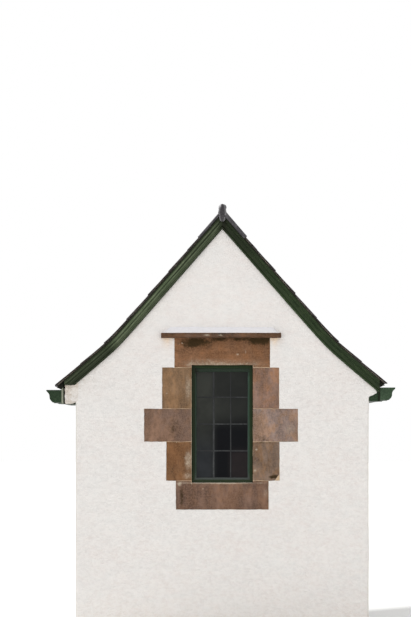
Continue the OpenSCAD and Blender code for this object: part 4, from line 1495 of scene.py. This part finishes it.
    def cames(self) -> Solid:
        """Cames between the lights and round them, with a flat blob of solder at each crossing.

        Returns:
            All cames with their solder.
        """
        x_lines, z_lines, depth = self.lights()
        up, over = lines([z_lines[0], z_lines[-1]], 12 * MM), lines([x_lines[0], x_lines[-1]], 12 * MM)
        made = []
        for upright, run, marks in ((True, up, x_lines), (False, over, z_lines)):
            for mark in marks:
                first = upright and mark == marks[1]
                width = self.came * (0.75 if mark in marks[[0, -1]] else 1.5 if first else 1)
                made.append(self.strip(run, mark, upright, width))
        radius, turn = np.linspace(0.05, 1, 5)[None], np.linspace(0, 2 * math.pi, 17)[:-1, None]
        top = self.pane_t / 2 + self.came_rise + 1.2 * MM * (1 - radius ** 2) - 0.5 * MM + 0 * turn
        for x in x_lines[1:-1]:
            for z in z_lines[1:-1]:
                at_x, at_z = x + self.solder * radius * np.cos(turn), z + self.solder * radius * np.sin(turn)
                made.append(shell(grid(at_x, depth - top, at_z), grid(at_x, depth + top, at_z), loop=True,
                                  dim=0.3, bright=0.0))
        return joined(made)

    def pointing(self) -> Solid:
        """A line of lime along the foot of the frame, ragged at its front.

        Returns:
            The line of lime.
        """
        lo, hi = box_of("window_frame")
        x = lines([lo.x + 2 * MM, hi.x - 2 * MM], 7 * MM)[:, None]
        over = np.linspace(0, 1, 5)[None]
        ragged = self.noise(grid(x, 0, 0), 0.04, 2) * 4 * MM
        y = lo.y - (12 * MM + ragged) * (1 - over)
        top = grid(x, y, lo.z + 0.5 * MM + 1 * MM * np.sqrt(over) + ragged * 0.1 * over)
        return shell(top, grid(x, y, lo.z - 1.5 * MM))


@dataclass
class Deck:
    """The timber of the roof: sarking boards on the rafters, and what carries them."""

    site: Site
    board: float = 150 * MM
    thickness: float = 20 * MM
    gap: float = 1.5 * MM
    setback: float = 60 * MM
    house_lift: float = 25 * MM

    def build(self) -> None:
        """Makes the sarking board by board and finishes the other timbers."""
        for side in Side:
            add_piece(side.node("sarking_boards"), self.boards(side), DECK_TIMBER, [side.node("sarking")])
        dress(RAFTER_TIMBER, "rafters", "sprockets")
        dress(CROSS_TIMBER, "collar_ties")
        dress(DECK_TIMBER, "ridge_board", "wall_plates", "valley_boards")

    def boards(self, side: Side) -> Solid:
        """Boards laid from the eaves up to the ridge, cut off on the house roof behind.

        Args:
            side: which side.
        Returns:
            The boards.
        """
        slope, rng = self.site.slope, np.random.default_rng(60 + side.value)
        top = slope.distance(0)
        start = self.site.front + self.setback
        made = []
        for foot in np.arange(slope.distance(self.site.reach[side]), top, self.board):
            u = np.linspace(foot + self.gap / 2, min(foot + self.board, top) - self.gap / 2, 4)[None]
            warp = rng.uniform(-1, 1) * 0.8 * MM * (2 * (u - foot) / self.board - 1)
            x_top, z_top = slope.at(u, warp - 0.3 * MM)
            x_low, z_low = slope.at(u, warp - self.thickness)
            rear = self.site.house.y_at(z_top, self.house_lift)
            along = np.linspace(0, 1, 24)[:, None]
            y = start + (rear - start) * along
            made.append(shell(side.grid(x_top, y, z_top), side.grid(x_low, y, z_low)))
        return joined(made)


@dataclass
class Sided:
    """Work that is done on each side of the bay in turn."""

    site: Site
    side: Side

    def __post_init__(self) -> None:
        """Looks up what depends on the side."""
        self.left, self.reach = self.side is Side.LEFT, self.site.reach[self.side]
        self.node, self.grid = self.side.node, self.side.grid


class Course(NamedTuple):
    """A row of slates: how far up the deck their tails lie, their length, and the height of their beds."""

    tail: float
    length: float
    seat: float


@dataclass
class Slating(Sided):
    """Random-width slates in diminishing courses, each lying on the two courses below it.

    Along the verge they are bedded in mortar on a strip of slate, the undercloak.
    """

    tail: float = 45 * MM
    thickness: float = 28 * MM
    slate: float = 7 * MM
    cloak: float = 4 * MM
    lap: float = 60 * MM
    courses: int = 8
    taper: float = 0.25
    verge: float = 66 * MM
    bedded_to: float = 0.12
    house_lift: float = 100 * MM
    step: float = 24 * MM
    widths: tuple[float, float] = (0.26, 0.46)
    narrowest: float = 0.12
    overrun: float = 60 * MM
    stray: float = 5 * MM
    rim: float = 6 * MM
    noise = Noise(71)

    def build(self) -> None:
        """Lays the slates, and the mortar and the undercloak beneath their verge."""
        add_piece(self.node("slating"), self.slope(), ROOF_SLATES, [self.node("slates")], FIRM)
        damp = (0.15, 1.0) if self.left else (0.1, 0.35)
        bed = self.strip(9 * MM, 0.5 * MM, self.cloak + 4.5 * MM, self.tail - 12 * MM, damp=damp)
        add_piece(self.node("verge_mortar"), bed, VERGE_MORTAR, crease=SOFT)
        # The undercloak is all edge, so it is painted in the dark shade tone of the slates' rims.
        cloak = self.strip(3 * MM, 0.3 * MM, self.cloak, self.tail - 6 * MM, tone=(0.1, 0.1), edge=(1, 1))
        add_piece(self.node("undercloak"), cloak, ROOF_SLATES)

    def strip(self, back: float, low: float, high: float, past: float,
              **marks: tuple[float, float]) -> Solid:
        """A strip along the verge under the slates, with a ragged front edge.

        Args:
            back: how far its front lies behind the slates' edge.
            low: height of its underside above the deck.
            high: height of its top above the deck.
            past: how far it passes the deck's lower edge.
            marks: marks of its finish, at the eaves and at the ridge.
        Returns:
            The strip.
        """
        slope = self.site.slope
        ends = slope.distance(self.reach) - past, slope.distance(self.bedded_to)
        up = lines(ends, self.step)[:, None]
        level = np.array([low, high - 1 * MM, high, high])[None]
        ragged = self.noise(grid(up, back, 0), 0.06, 3) * 4 * MM
        y = self.site.front - self.verge + back + ragged + np.array([2 * MM, 0, 1.5 * MM, 70 * MM])[None]
        x, z = slope.at(up, level + 0 * up)
        x_low, z_low = slope.at(up, low + 0 * level)
        outer, inner = self.grid(x, y, z), self.grid(x_low, y + 0.5 * MM, z_low)
        rise = ease(up, up[0] + 0.3, up[0] + 0.9)
        return shell(outer, inner, **{k: foot + (head - foot) * rise for k, (foot, head) in marks.items()})

    def tails(self) -> Array:
        """Distance up the deck of each course's tail, with the ridge last.

        Returns:
            The distances in rising order.
        """
        share = np.arange(self.courses + 1) / self.courses
        x = (self.reach + self.tail) * (1 - share * (1 + self.taper * (1 - share)))
        return self.site.slope.distance(x)

    def slope(self) -> Solid:
        """One slope, course by course from the eaves, with a short course under the tails of the first.

        Returns:
            The slates.
        """
        rng, tails = np.random.default_rng(80 + self.side.value), self.tails()
        made = []
        for tail, after in zip(tails, tails[1:]):
            length = min(2 * (after - tail) + self.lap, tails[-1] - tail - 6 * MM)
            seat = self.seat(length, after - tail)
            if not made:
                made += self.row(rng, Course(tail + 4 * MM, 0.62 * length, 0.45 * seat))
            made += self.row(rng, Course(tail, length, seat))
        return joined(made)

    def seat(self, length: float, gauge: float) -> float:
        """Height of a slate's bed at its tail, so that it clears the course below by a hair."""
        steep = self.slate * length / max(gauge, self.slate) * 1.02
        return min(self.thickness - self.slate - self.cloak, steep)

    def row(self, rng: np.random.Generator, course: Course) -> list[Solid]:
        """One course from the verge back to the valley, with slates of random width.

        Args:
            rng: source of the random widths.
            course: where the slates lie and how long they are.
        Returns:
            The slates.
        """
        made = []
        y = self.site.front - self.verge + rng.uniform(-1, 1) * self.stray
        _, z_head = self.site.slope.at(course.tail + course.length, 0.0)
        rear = self.site.house.y_at(z_head, self.house_lift)
        share = rng.uniform(0.45, 1.0)
        while y < rear - self.overrun / 2:
            end = y + rng.uniform(*self.widths) * share
            share = 1.0
            if rear - end < self.narrowest:
                end = rear + self.overrun
            tail = course.tail + rng.uniform(-1, 1) * self.stray
            slate = self.one(rng, course._replace(tail=tail), y, end)
            made += [slate] if len(slate.faces) else []
            y = end + rng.uniform(1.5, 4) * MM
        return made

    def one(self, rng: np.random.Generator, course: Course, start: float, end: float) -> Solid:
        """One slate: a riven plate whose bed rises evenly from its head to its tail.

        Args:
            rng: source of its tone and warp.
            course: where it lies and how long it is.
            start: front edge.
            end: rear edge, before the cut on the valley.
        Returns:
            The slate.
        """
        wide, seed = end - start, rng.uniform(0, 50)
        s = lines([0, 4 * MM, 12 * MM, course.length], self.step)[:, None]
        v = lines([0, 4 * MM, wide - 4 * MM, wide], self.step)[None]
        place = grid(s, v, seed)
        ragged = self.noise(place, 0.05, 3)
        up = course.tail + s + ragged * self.stray * ease(0.06 - s, 0, 0.06)
        y = start + v + self.noise(place + 3, 0.05, 2) * 3 * MM * ease(0.03 - v, 0, 0.03)
        bed = self.cloak + course.seat * (1 - s / course.length)
        broken_rim_and_shade = ease(self.rim - np.minimum(np.minimum(s, v), wide - v), 0, self.rim)
        bow = rng.uniform(-1.2, 1.2) * MM * np.sin(math.pi * v / wide)
        riven = self.noise(place, 0.16, 3) * 0.9 * MM
        top = bed + self.slate * rng.uniform(0.85, 1.0) + bow + riven - 2.5 * MM * broken_rim_and_shade
        x_top, z_top = self.site.slope.at(up, top)
        x_low, z_low = self.site.slope.at(up, bed + bow * 0.5)
        mid_z, mid_y = ((a[1:, 1:] + a[:-1, :-1]) / 2 for a in (z_top, y))
        keep = mid_y < self.site.house.y_at(mid_z, self.house_lift)
        tone = np.clip(rng.beta(1.3, 1.6) + 0.12 * ragged, 0, 1)
        sides = self.grid(x_top, y, z_top), self.grid(x_low, y, z_low)
        return shell(*sides, keep, tone=tone, edge=broken_rim_and_shade)


@dataclass
class Leadwork:
    """The lead over the ridge: one sheet with a roll and two wings, folded down in front, and a tongue.

    The aprons are the depths of the fold on the left and right, and the welt lifts the wings' front edge.
    """

    site: Site
    lift: float = 25 * MM
    sheet: float = 2.5 * MM
    reach: float = 230 * MM
    roll: float = 31 * MM
    fold: float = 6 * MM
    welt: float = 8 * MM
    aprons: tuple[float, float] = (29 * MM, 40 * MM)
    tongue_drop: float = 78 * MM
    tongue_half: float = 41 * MM
    tip_half: float = 21 * MM
    house_lift: float = 100 * MM
    verge: float = 71 * MM
    noise = Noise(97)

    def build(self) -> None:
        """Makes the ridge sheet with its tongue, and finishes the valleys."""
        sheet = joined([self.ridge_sheet(), self.tongue()])
        add_piece("ridge_lead_sheet", sheet, LEAD, ["ridge_lead"], SOFT)
        dress(LEAD, "valley_lead")

    @property
    def roll_z(self) -> float:
        """Height of the roll's centre."""
        return box_of("ridge_lead").high.z - self.roll

    def section(self) -> tuple[Array, Array, Array]:
        """Section from wing to wing: slope, arc of the roll, slope, then smoothed along its own length.

        Returns:
            x and z of the section, and its share of wing, 0 on the roll.
        """
        slope = self.site.slope
        rise = (self.roll_z - slope.apex) * math.cos(slope.pitch) - self.lift
        join = math.sqrt(self.roll ** 2 - rise ** 2) * math.cos(slope.pitch) - rise * math.sin(slope.pitch)
        wing = np.linspace(self.reach, join, 40)
        wing_z = slope.height(wing, -self.lift)
        dip = math.acos(join / self.roll)
        turn = np.linspace(-dip, math.pi + dip, 60)
        x = np.concatenate([wing, self.roll * np.cos(turn), -wing[::-1]])
        z = np.concatenate([wing_z, self.roll_z + self.roll * np.sin(turn), wing_z[::-1]])
        x, z = evenly(x, z, 160)
        kernel = np.hanning(7)[1:-1] / np.hanning(7)[1:-1].sum()
        for line in (x, z):
            line[2:-2] = np.convolve(line, kernel, "valid")
        return x, z, ease(np.abs(x), join, join + 25 * MM)

    def ridge_sheet(self) -> Solid:
        """The section carried from the house roof to the verge and folded down there.

        The fold is a quarter circle, along which the sheet's thickness turns from the section's normal
        to +Y.

        Returns:
            The sheet.
        """
        x, z, wing = self.section()
        apron = np.where(x < 0, *self.aprons)
        turned = 0.7 * self.roll * (1 - wing) + apron * wing
        rear = self.site.house.y_at(z, self.house_lift)
        edge = self.site.front - self.verge
        along, turn = np.linspace(0, 1, 90)[:, None], np.linspace(0, math.pi / 2, 6)[1:, None]
        down = np.linspace(0, 1, 8)[1:, None]
        y = np.concatenate([rear + (edge + self.fold - rear) * along,
                            edge + self.fold * (1 - np.sin(turn)) + 0 * x, edge + 0 * (down + x)])
        depth = np.concatenate([0 * (along + x), self.fold * (1 - np.cos(turn)) + 0 * x,
                                self.fold + (turned - self.fold) * down])
        tilt = np.concatenate([0 * along, turn, 0 * down + math.pi / 2])
        nx, nz = -np.gradient(z), np.gradient(x)
        size = np.hypot(nx, nz) * np.sign(nz[len(nz) // 2])
        nx, nz = nx / size, nz / size
        where = grid(x, y, z)
        dent = self.noise(where, 0.13, 3) * 2.2 * MM + np.maximum(self.noise(where + 7, 0.3), 0) * 2 * MM
        wave = self.noise(where + 3, 0.07, 2) * 1.5 * MM * np.sin(tilt)
        lifted = self.welt * wing * ease(edge + 90 * MM - y, 0, 80 * MM)
        sides = []
        for inner in (0, self.sheet):
            off = dent * np.cos(tilt) + lifted - depth - inner * np.cos(tilt)
            sides.append(grid(x + nx * off, y + wave + inner * np.sin(tilt), z + nz * off))
        # A painted highlight along the fold of the left wing, and painted shade at the foot of each apron,
        # lighter on the left.
        bright = 0.9 * wing * (x < 0) * (tilt > 0.2) * ease(11 * MM - depth, 0, 6 * MM)
        dim = 0.6 * wing * ease(depth, turned - 12 * MM, turned) * (1 - 0.4 * (x < 0))
        return shell(*sides, bright=bright, dim=dim)

    def tongue(self) -> Solid:
        """The roll's domed end drawn out into a tongue over the mitre of the boards.

        Its outline is the roll's circle, widens evenly to the deck's ridge and narrows to a round tip.

        Returns:
            The tongue.
        """
        apex = self.site.slope.apex
        foot = apex - self.tongue_drop
        z = np.linspace(self.roll_z + self.roll - 0.3 * MM, foot, 44)[:, None]
        circle = np.sqrt(np.maximum(self.roll ** 2 - np.maximum(z - self.roll_z, 0) ** 2, 0))
        half = np.interp(-z, [-self.roll_z, -apex, -foot], [0, self.tongue_half - self.roll,
                                                            self.tip_half - self.roll]) + circle
        drop = np.clip((self.roll_z - z) / (self.roll_z - foot), 0, 1)
        half = half * np.sqrt(1 - np.clip((drop - 0.86) / 0.14, 0, 1) ** 2 * 0.8)
        across = np.linspace(-1, 1, 19)[None]
        x = across * half
        dome = 5 * MM * np.sqrt(1 - 0.9 * across ** 2) * (1 - 0.6 * drop)
        tuck = 15 * MM * ease(drop, 0.45, 0.95)
        y = self.site.front - self.verge - dome + tuck + self.noise(grid(x, 0, z), 0.03, 2) * 1.5 * MM
        # Painted highlights along both sides and a spot at the upper left of the roll's end, and painted
        # shade down its middle.
        highlight_spot = np.exp(-((x + 22 * MM) / (9 * MM)) ** 2 - ((z - self.roll_z - 16 * MM) / (14 * MM)) ** 2)
        bright = 0.16 * ease(np.abs(across), 0.45, 0.85) + 0.6 * highlight_spot
        dim = 0.6 * np.exp(-(across / 0.5) ** 2) * (1 - 0.6 * drop)
        back = grid(x, y + self.sheet + 1.5 * MM, z)
        return shell(grid(x, y, z), back, bright=bright, dim=dim)


@dataclass
class GableJoinery(Sided):
    """Bargeboards with their mouldings, and the boxed eaves.

    The bands are depths below the deck in millimetres, at which the paint of the sunny left side and of
    the shady right side is darkened by the shares listed.
    """

    thickness: float = 28 * MM
    deep: float = 94 * MM
    crown: float = 34 * MM
    crown_out: float = 22 * MM
    bed: float = 10 * MM
    fascia_t: float = 18 * MM
    tilt_out: float = 45 * MM
    tilt_deep: float = 50 * MM
    tilt_front: float = 5 * MM
    house_lift: float = 25 * MM
    step: float = 22 * MM
    bands: tuple[float, ...] = (0, 8, 13, 19, 30, 36, 42, 48, 60, 75, 94)
    sunny: tuple[float, ...] = (0.95, 0.95, 0.9, 0.05, 0.0, 0.95, 0.55, 0.0, 0.78, 0.45, 0.95)
    shady: tuple[float, ...] = (0.4, 0.3, 0.35, 0.0, 0.35, 0.1, 0.1, 0.12, 0.4, 0.1, 0.0)
    noise = Noise(83)

    def build(self) -> None:
        """Makes the board, its moulding and the boards of the box behind them, and finishes the box."""
        paint = SUNNY_PAINT if self.left else SHADY_PAINT
        add_piece(self.node("bargeboard_beaded"), self.run(self.board_section()), paint,
                  [self.node("bargeboard")])
        moulding = [self.run(self.crown_section()), self.run(self.bed_section())]
        add_piece(self.node("verge_moulding_run"), joined(moulding), paint, [self.node("verge_moulding")])
        add_piece(self.node("fascia_board"), self.fascia(), GREEN_PAINT, [self.node("fascia")])
        add_piece(self.node("tilting_fillet"), self.fillet(), GREEN_PAINT)
        dress(GREEN_PAINT, self.node("soffit"))
        if not self.left:
            dress(IRON_PAINT, "right_box_end")

    def fascia(self) -> Solid:
        """The board behind the gutter, cut on the house roof.

        Returns:
            The board.
        """
        low = box_of(self.node("fascia")).low
        up = np.linspace(0, 1, 8)[None]
        grids = []
        for x in (self.reach, self.reach - self.fascia_t):
            top = self.site.slope.height(x, Deck.thickness)
            z = low.z + (top - low.z) * up
            rear = np.maximum(self.site.house.y_at(z, self.house_lift), self.site.house.edge_y)
            along = np.array([0, 0.5 * MM, 1.5 * MM, 2.5 * MM])[:, None] + low.y + 0 * z
            y = np.concatenate([along, low.y + (rear - low.y) * np.linspace(0.02, 1, 40)[:, None]])
            grids.append(self.grid(x, y, z))
        # The front end: on the left paler, a painted highlight on its lit end grain; on the right darker,
        # painted shade.
        end = ease(low.y + 2 * MM - grids[0][..., 1], 0, MM)
        return shell(*grids, edge=self.left * end, shade=0.8 * (not self.left) * end)

    def fillet(self) -> Solid:
        """The wedge between the deck's line and the fascia, which carries the tails of the slates.

        Returns:
            The wedge.
        """
        low, tip = box_of(self.node("fascia")).low, self.reach + self.tilt_out
        x = np.linspace(self.reach - self.fascia_t - MM, tip, 8)[None]
        top = self.site.slope.height(x, 0.5 * MM)
        under = top - 2 * MM - self.tilt_deep * ease(tip - x, 0, self.tilt_out)
        grids = []
        for z in (top, under):
            rear = self.site.house.y_at(z, self.house_lift)
            start = low.y - self.tilt_front
            y = start + (rear - start) * np.linspace(0, 1, 30)[:, None]
            grids.append(self.grid(x, y, z))
        # Painted shade: the whole wedge takes the dark shade tone, as it lies in the shadow under the slates'
        # tails.
        return shell(*grids, shade=1.0)

    def board_section(self) -> tuple[Array, Array]:
        """A face that is flat down to a quirk, with a bead along its lower edge.

        Returns:
            Front and back of the section.
        """
        turn = np.linspace(-math.pi / 2, math.pi / 2, 9)
        bead_r = 9 * MM
        bead_mid = self.deep - bead_r - 0.5 * MM
        quirk = bead_mid - bead_r - 4 * MM
        face = [[d, self.thickness] for d in (0, *np.linspace(self.crown, quirk, 9))]
        face.append([quirk + 2 * MM, self.thickness - 5 * MM])
        swell = self.thickness - 7 * MM + bead_r * np.cos(turn)
        bead = np.stack([bead_mid + bead_r * np.sin(turn), swell], axis=1)
        front = np.concatenate([face, bead, [[self.deep, self.thickness - 12 * MM]]])
        return front, np.stack([np.linspace(0, self.deep, len(front)), np.zeros(len(front))], axis=1)

    def crown_section(self) -> tuple[Array, Array]:
        """A square fillet, a cyma, and a small fillet at its foot.

        Returns:
            Front and back of the section.
        """
        t = np.linspace(0, 1, 11)
        cyma_d = 9 * MM + (self.crown - 15 * MM) * t
        cyma_y = self.crown_out * (0.86 - 0.62 * (t - 0.16 * np.sin(2 * math.pi * t)))
        body = np.stack([cyma_d, cyma_y], axis=1)
        head = [[0, self.crown_out], [8 * MM, self.crown_out], [8.5 * MM, self.crown_out * 0.9]]
        foot = [[self.crown - 5 * MM, self.crown_out * 0.3], [self.crown, self.crown_out * 0.28]]
        front = np.concatenate([head, body, foot])
        back = np.stack([np.linspace(0, self.crown, len(front)), np.full(len(front), -1 * MM)], axis=1)
        return front + (0, self.thickness), back + (0, self.thickness)

    def bed_section(self) -> tuple[Array, Array]:
        """A half-round bead under the crown.

        Returns:
            Front and back of the section.
        """
        turn = np.linspace(0, math.pi, 9)
        d = self.crown + self.bed / 2 - self.bed / 2 * np.cos(turn)
        front = np.stack([d, self.thickness + 0.85 * self.bed * np.sin(turn)], axis=1)
        return front, front * (1, 0) + (0, self.thickness - 1 * MM)

    def run(self, section: tuple[Array, Array]) -> Solid:
        """Carries a section down one verge, parallel to the deck. The left foot is cut level.

        Args:
            section: front and back lines of the section.
        Returns:
            The run.
        """
        low, high = box_of(self.node("bargeboard"))
        left, end = self.left, max(-low.x, high.x)
        x = lines([0, end - 0.12, end], self.step)[:, None]
        grids = []
        for part in section:
            z = np.concatenate([self.site.slope.height(x, depth) for depth in part[:, 0]], axis=1)
            if left:
                z = np.maximum(z, low.z + np.arange(len(part))[::-1] * 0.05 * MM)
            where = self.grid(x, self.site.front - part[:, 1], z)
            where += self.noise(where, 0.4)[..., None] * np.array([0, 1.2, 1.2]) * MM
            grids.append(where)
        depth = section[0][:, 0]
        dirt = 0.25 * (not left) * ease(x, end - 0.3, end)
        inner = 1 - 0.9 * left * ease(depth, 42 * MM, 58 * MM)
        upper = 0.45 * ease(60 * MM - x, 0, 45 * MM) + 0.4 * ease(0.55 - x, 0, 0.35) * inner
        foot = 0.62 * left * ease(x, 0.99, 1.12)
        tone = np.interp(depth / MM, self.bands, self.sunny if left else self.shady)
        shade = tone * (1 - 0.4 * foot) + upper + foot
        edge = 0.2 * (not left) * np.exp(-((depth / MM - 3) / 4) ** 2) * ease(x, 1.1, 1.25)
        return shell(*grids, dirt=dirt, shade=np.clip(shade, 0, 0.9), edge=edge)


@dataclass
class Gutters(Sided):
    """Cast ogee gutters on brackets, with stop ends and a bed of silt."""

    metal: float = 5 * MM
    base: float = 84 * MM
    width: float = 145 * MM
    swell: float = 9 * MM
    lip: float = 2 * MM
    upright: float = 0.9
    tall: float = 0.12
    silt: float = 34 * MM
    bracket_w: float = 26 * MM
    bracket_gap: float = 0.32
    bracket_ends: tuple[float, float] = (0.14, 0.05)
    noise = Noise(101)

    def build(self) -> None:
        """Makes the gutter and the silt in it."""
        parts = [self.trough(), *self.stop_ends(), *self.brackets()]
        paint = IRON_PAINT if self.left else PALE_IRON_PAINT
        add_piece(self.node("gutter_casting"), joined(parts), paint, [self.node("gutter")])
        add_piece(self.node("gutter_silt"), self.silt_bed(), MORTAR, crease=SOFT)

    def ogee(self, up: Array | float) -> Array:
        """Reach of the front at a share of its height: a slope with one sine wave, upright at the rim."""
        share = np.clip(up / self.upright, 0, 1)
        return self.base + (self.width - self.base) * share + self.swell * np.sin(2 * math.pi * share)

    def outline(self) -> tuple[Array, Array]:
        """Outer line from the back edge down and up the ogee to the lip, at even steps.

        Returns:
            Distance out from the fascia, and height above the base.
        """
        lo, hi = box_of("right_gutter")
        tall, up = hi.z - lo.z, np.linspace(0, 1, 60)
        x = np.concatenate([[0, 0, 0.5 * self.base], self.ogee(up)])
        z = np.concatenate([[tall, 0, 0], up * tall])
        return evenly(x, z, 72)

    def trough(self) -> Solid:
        """The outline and a parallel line inside it, carried along the eaves.

        Returns:
            The trough.
        """
        lo, hi = box_of(self.node("gutter"))
        x, z = self.outline()
        nx, nz = -np.gradient(z), np.gradient(x)
        at_lip = ease(np.arange(len(x)), len(x) - 5, len(x) - 2)
        thick = (self.metal + self.lip * at_lip) / np.hypot(nx, nz)
        y = lines([lo.y, hi.y], 30 * MM)[:, None]
        outer = self.grid(self.reach + x, y, lo.z + z)
        inside = np.maximum(x + nx * thick, self.metal * 0.6)
        inner = self.grid(self.reach + inside, y, lo.z + z + nz * thick)
        ripple = self.noise(outer, 0.5)[..., None] * np.array([0, 0, 1.5]) * MM
        return shell(outer + ripple, inner + ripple, dirt=0.5 * ease(z, 0.085, 0.12))

    def stop_ends(self) -> list[Solid]:
        """Plates with a thin flange, which close both ends.

        Returns:
            The plates.
        """
        lo, hi = box_of(self.node("gutter"))
        up, share = np.linspace(0, 1, 26)[:, None], np.linspace(0, 1, 15)[None]
        x = self.reach + share * self.ogee(up)
        z = lo.z + up * (hi.z - lo.z)
        rim = np.minimum(np.minimum(share, 1 - share) * self.ogee(up), z - lo.z)
        flange = 1.5 * MM * ease(9 * MM - rim, 0, 2 * MM)
        ends = []
        for face, inward in ((lo.y, 1), (hi.y, -1)):
            outer = self.grid(x, face - inward * flange, z)
            inner = self.grid(x, face + inward * self.metal, z)
            ends.append(shell(outer, inner, dirt=0.0))
        return ends

    def brackets(self) -> list[Solid]:
        """Flat straps under the base and up the ogee.

        Returns:
            The straps.
        """
        lo, hi = box_of(self.node("gutter"))
        x, z = self.outline()
        keep = slice(len(x) // 4, int(len(x) * 0.93))
        nx, nz = np.gradient(z)[keep], -np.gradient(x)[keep]
        length = np.hypot(nx, nz)
        x, z = self.reach + x[keep], lo.z + z[keep]
        proud = np.array([0.4, 1, 1, 0.4])[:, None] * 4 * MM
        straps = []
        first, last = self.bracket_ends
        for middle in np.arange(lo.y + first, hi.y - last, self.bracket_gap):
            y = middle + np.array([-0.5, -0.42, 0.42, 0.5])[:, None] * self.bracket_w
            outer = self.grid(x + nx / length * proud, y, z + nz / length * proud)
            inner = self.grid(x - nx / length * MM, y, z - nz / length * MM)
            straps.append(shell(outer, inner, dirt=0.2))
        return straps

    def silt_bed(self) -> Solid:
        """Grit that has settled in the bottom, deeper in places.

        Returns:
            The grit.
        """
        lo, hi = box_of(self.node("gutter"))
        y = lines([lo.y + self.metal, hi.y - self.metal], 14 * MM)[:, None]
        wide = self.ogee(self.silt / self.tall) - 2 * self.metal
        x = self.metal + np.linspace(0, 1, 12)[None] * wide
        where = self.grid(self.reach + x, y, lo.z + self.silt)
        heap = self.noise(where, 0.06, 3) * 7 * MM
        bottom = self.grid(self.reach + np.clip(x, 6 * MM, self.base), y, lo.z + 2 * MM)
        return shell(where + grid(0, 0, heap), bottom, damp=1.0)


@dataclass(frozen=True)
class Lamp:
    """A sun: the way its light comes from, its strength and how soft it is."""

    name: str
    source: Triple
    strength: float
    softness: float

    def build(self) -> None:
        """Puts the sun into the scene."""
        data = bpy.data.lights.new(self.name, "SUN")
        data.energy, data.angle = self.strength, math.radians(self.softness)
        turn = mathutils.Vector(self.source).to_track_quat("Z", "Y")
        place(self.name, data).rotation_euler = turn.to_euler()


@dataclass
class Studio:
    """A plain pale floor, soft light on the front, a sun from behind and a level camera."""

    site: Site
    eye: Triple = (-0.161, 10.8, 1.93)
    lens: float = 65.6
    shift: float = 0.20113
    lamps: tuple[Lamp, ...] = (Lamp("sun", (-0.5, 0.14, 0.9), 2.0, 3.0),
                               Lamp("shade_light", (-0.75, -0.9, 0.8), 0.45, 60.0))
    sky: float = 0.84
    floor: Colour = (0.80, 0.80, 0.79)
    floor_reach: float = 60.0

    def build(self) -> None:
        """Sets up the view, the lights and the floor."""
        self.camera()
        for lamp in self.lamps:
            lamp.build()
        self.background()
        self.ground()
        bpy.context.scene.view_settings.view_transform = "Standard"

    def camera(self) -> None:
        """The camera stands in front of the wall, a little to its left."""
        data = bpy.data.cameras.new("camera")
        data.lens, data.shift_y = self.lens, self.shift
        camera = place("camera", data)
        x, away, z = self.eye
        camera.location = (MIDDLE + x, self.site.front - away, z)
        camera.rotation_euler = (math.pi / 2, 0, 0)
        bpy.context.scene.camera = camera

    def background(self) -> None:
        """A plain sky that looks white to the camera and in reflections."""
        world = bpy.data.worlds.new("sky")
        world.use_nodes = True
        g = Graph(world.node_tree)
        path = g.node("ShaderNodeLightPath").outputs
        mirrored = g.math("MAXIMUM", path["Is Glossy Ray"], path["Is Transmission Ray"])
        seen = g.math("MAXIMUM", path["Is Camera Ray"], mirrored)
        sky = world.node_tree.nodes["Background"].inputs
        g.feed(sky["Color"], (1, 1, 1))
        g.feed(sky["Strength"], g.span(seen, 0, 1, self.sky, 1.0))
        bpy.context.scene.world = world

    def ground(self) -> None:
        """A wide floor under the bay."""
        mesh = bpy.data.meshes.new("floor")
        corners = [(x * self.floor_reach, y * self.floor_reach, 0) for x, y in SQUARE]
        mesh.from_pydata(corners, [], [(0, 1, 2, 3)])
        finish = bpy.data.materials.new("pale_floor")
        finish.use_nodes = True
        shader = finish.node_tree.nodes["Principled BSDF"]
        shader.inputs["Base Color"].default_value = (*self.floor, 1)
        shader.inputs["Roughness"].default_value = 0.9
        mesh.materials.append(finish)
        floor = place("floor", mesh)
        floor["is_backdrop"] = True


def write_sizes(before: object, after: object) -> None:
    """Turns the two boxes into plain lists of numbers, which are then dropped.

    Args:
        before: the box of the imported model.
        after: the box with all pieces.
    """
    boxes = {name: [list(corner) for corner in box] for name, box in (("cad", before), ("visual", after))}


def main() -> None:
    """Builds the bay piece by piece."""
    logging.basicConfig(level=logging.INFO, format="%(message)s")
    site = Site.from_frame()
    for part in (Studio, Roughcast, Dressings, Hood, LeadedWindow, Deck, Slating, Leadwork, GableJoinery,
                 Gutters):
        log.info("%s", part.__name__)
        for work in [part(site, side) for side in Side] if issubclass(part, Sided) else [part(site)]:
            work.build()
    write_sizes(CAD_BOX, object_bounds())


if __name__ == "__main__":
    main()
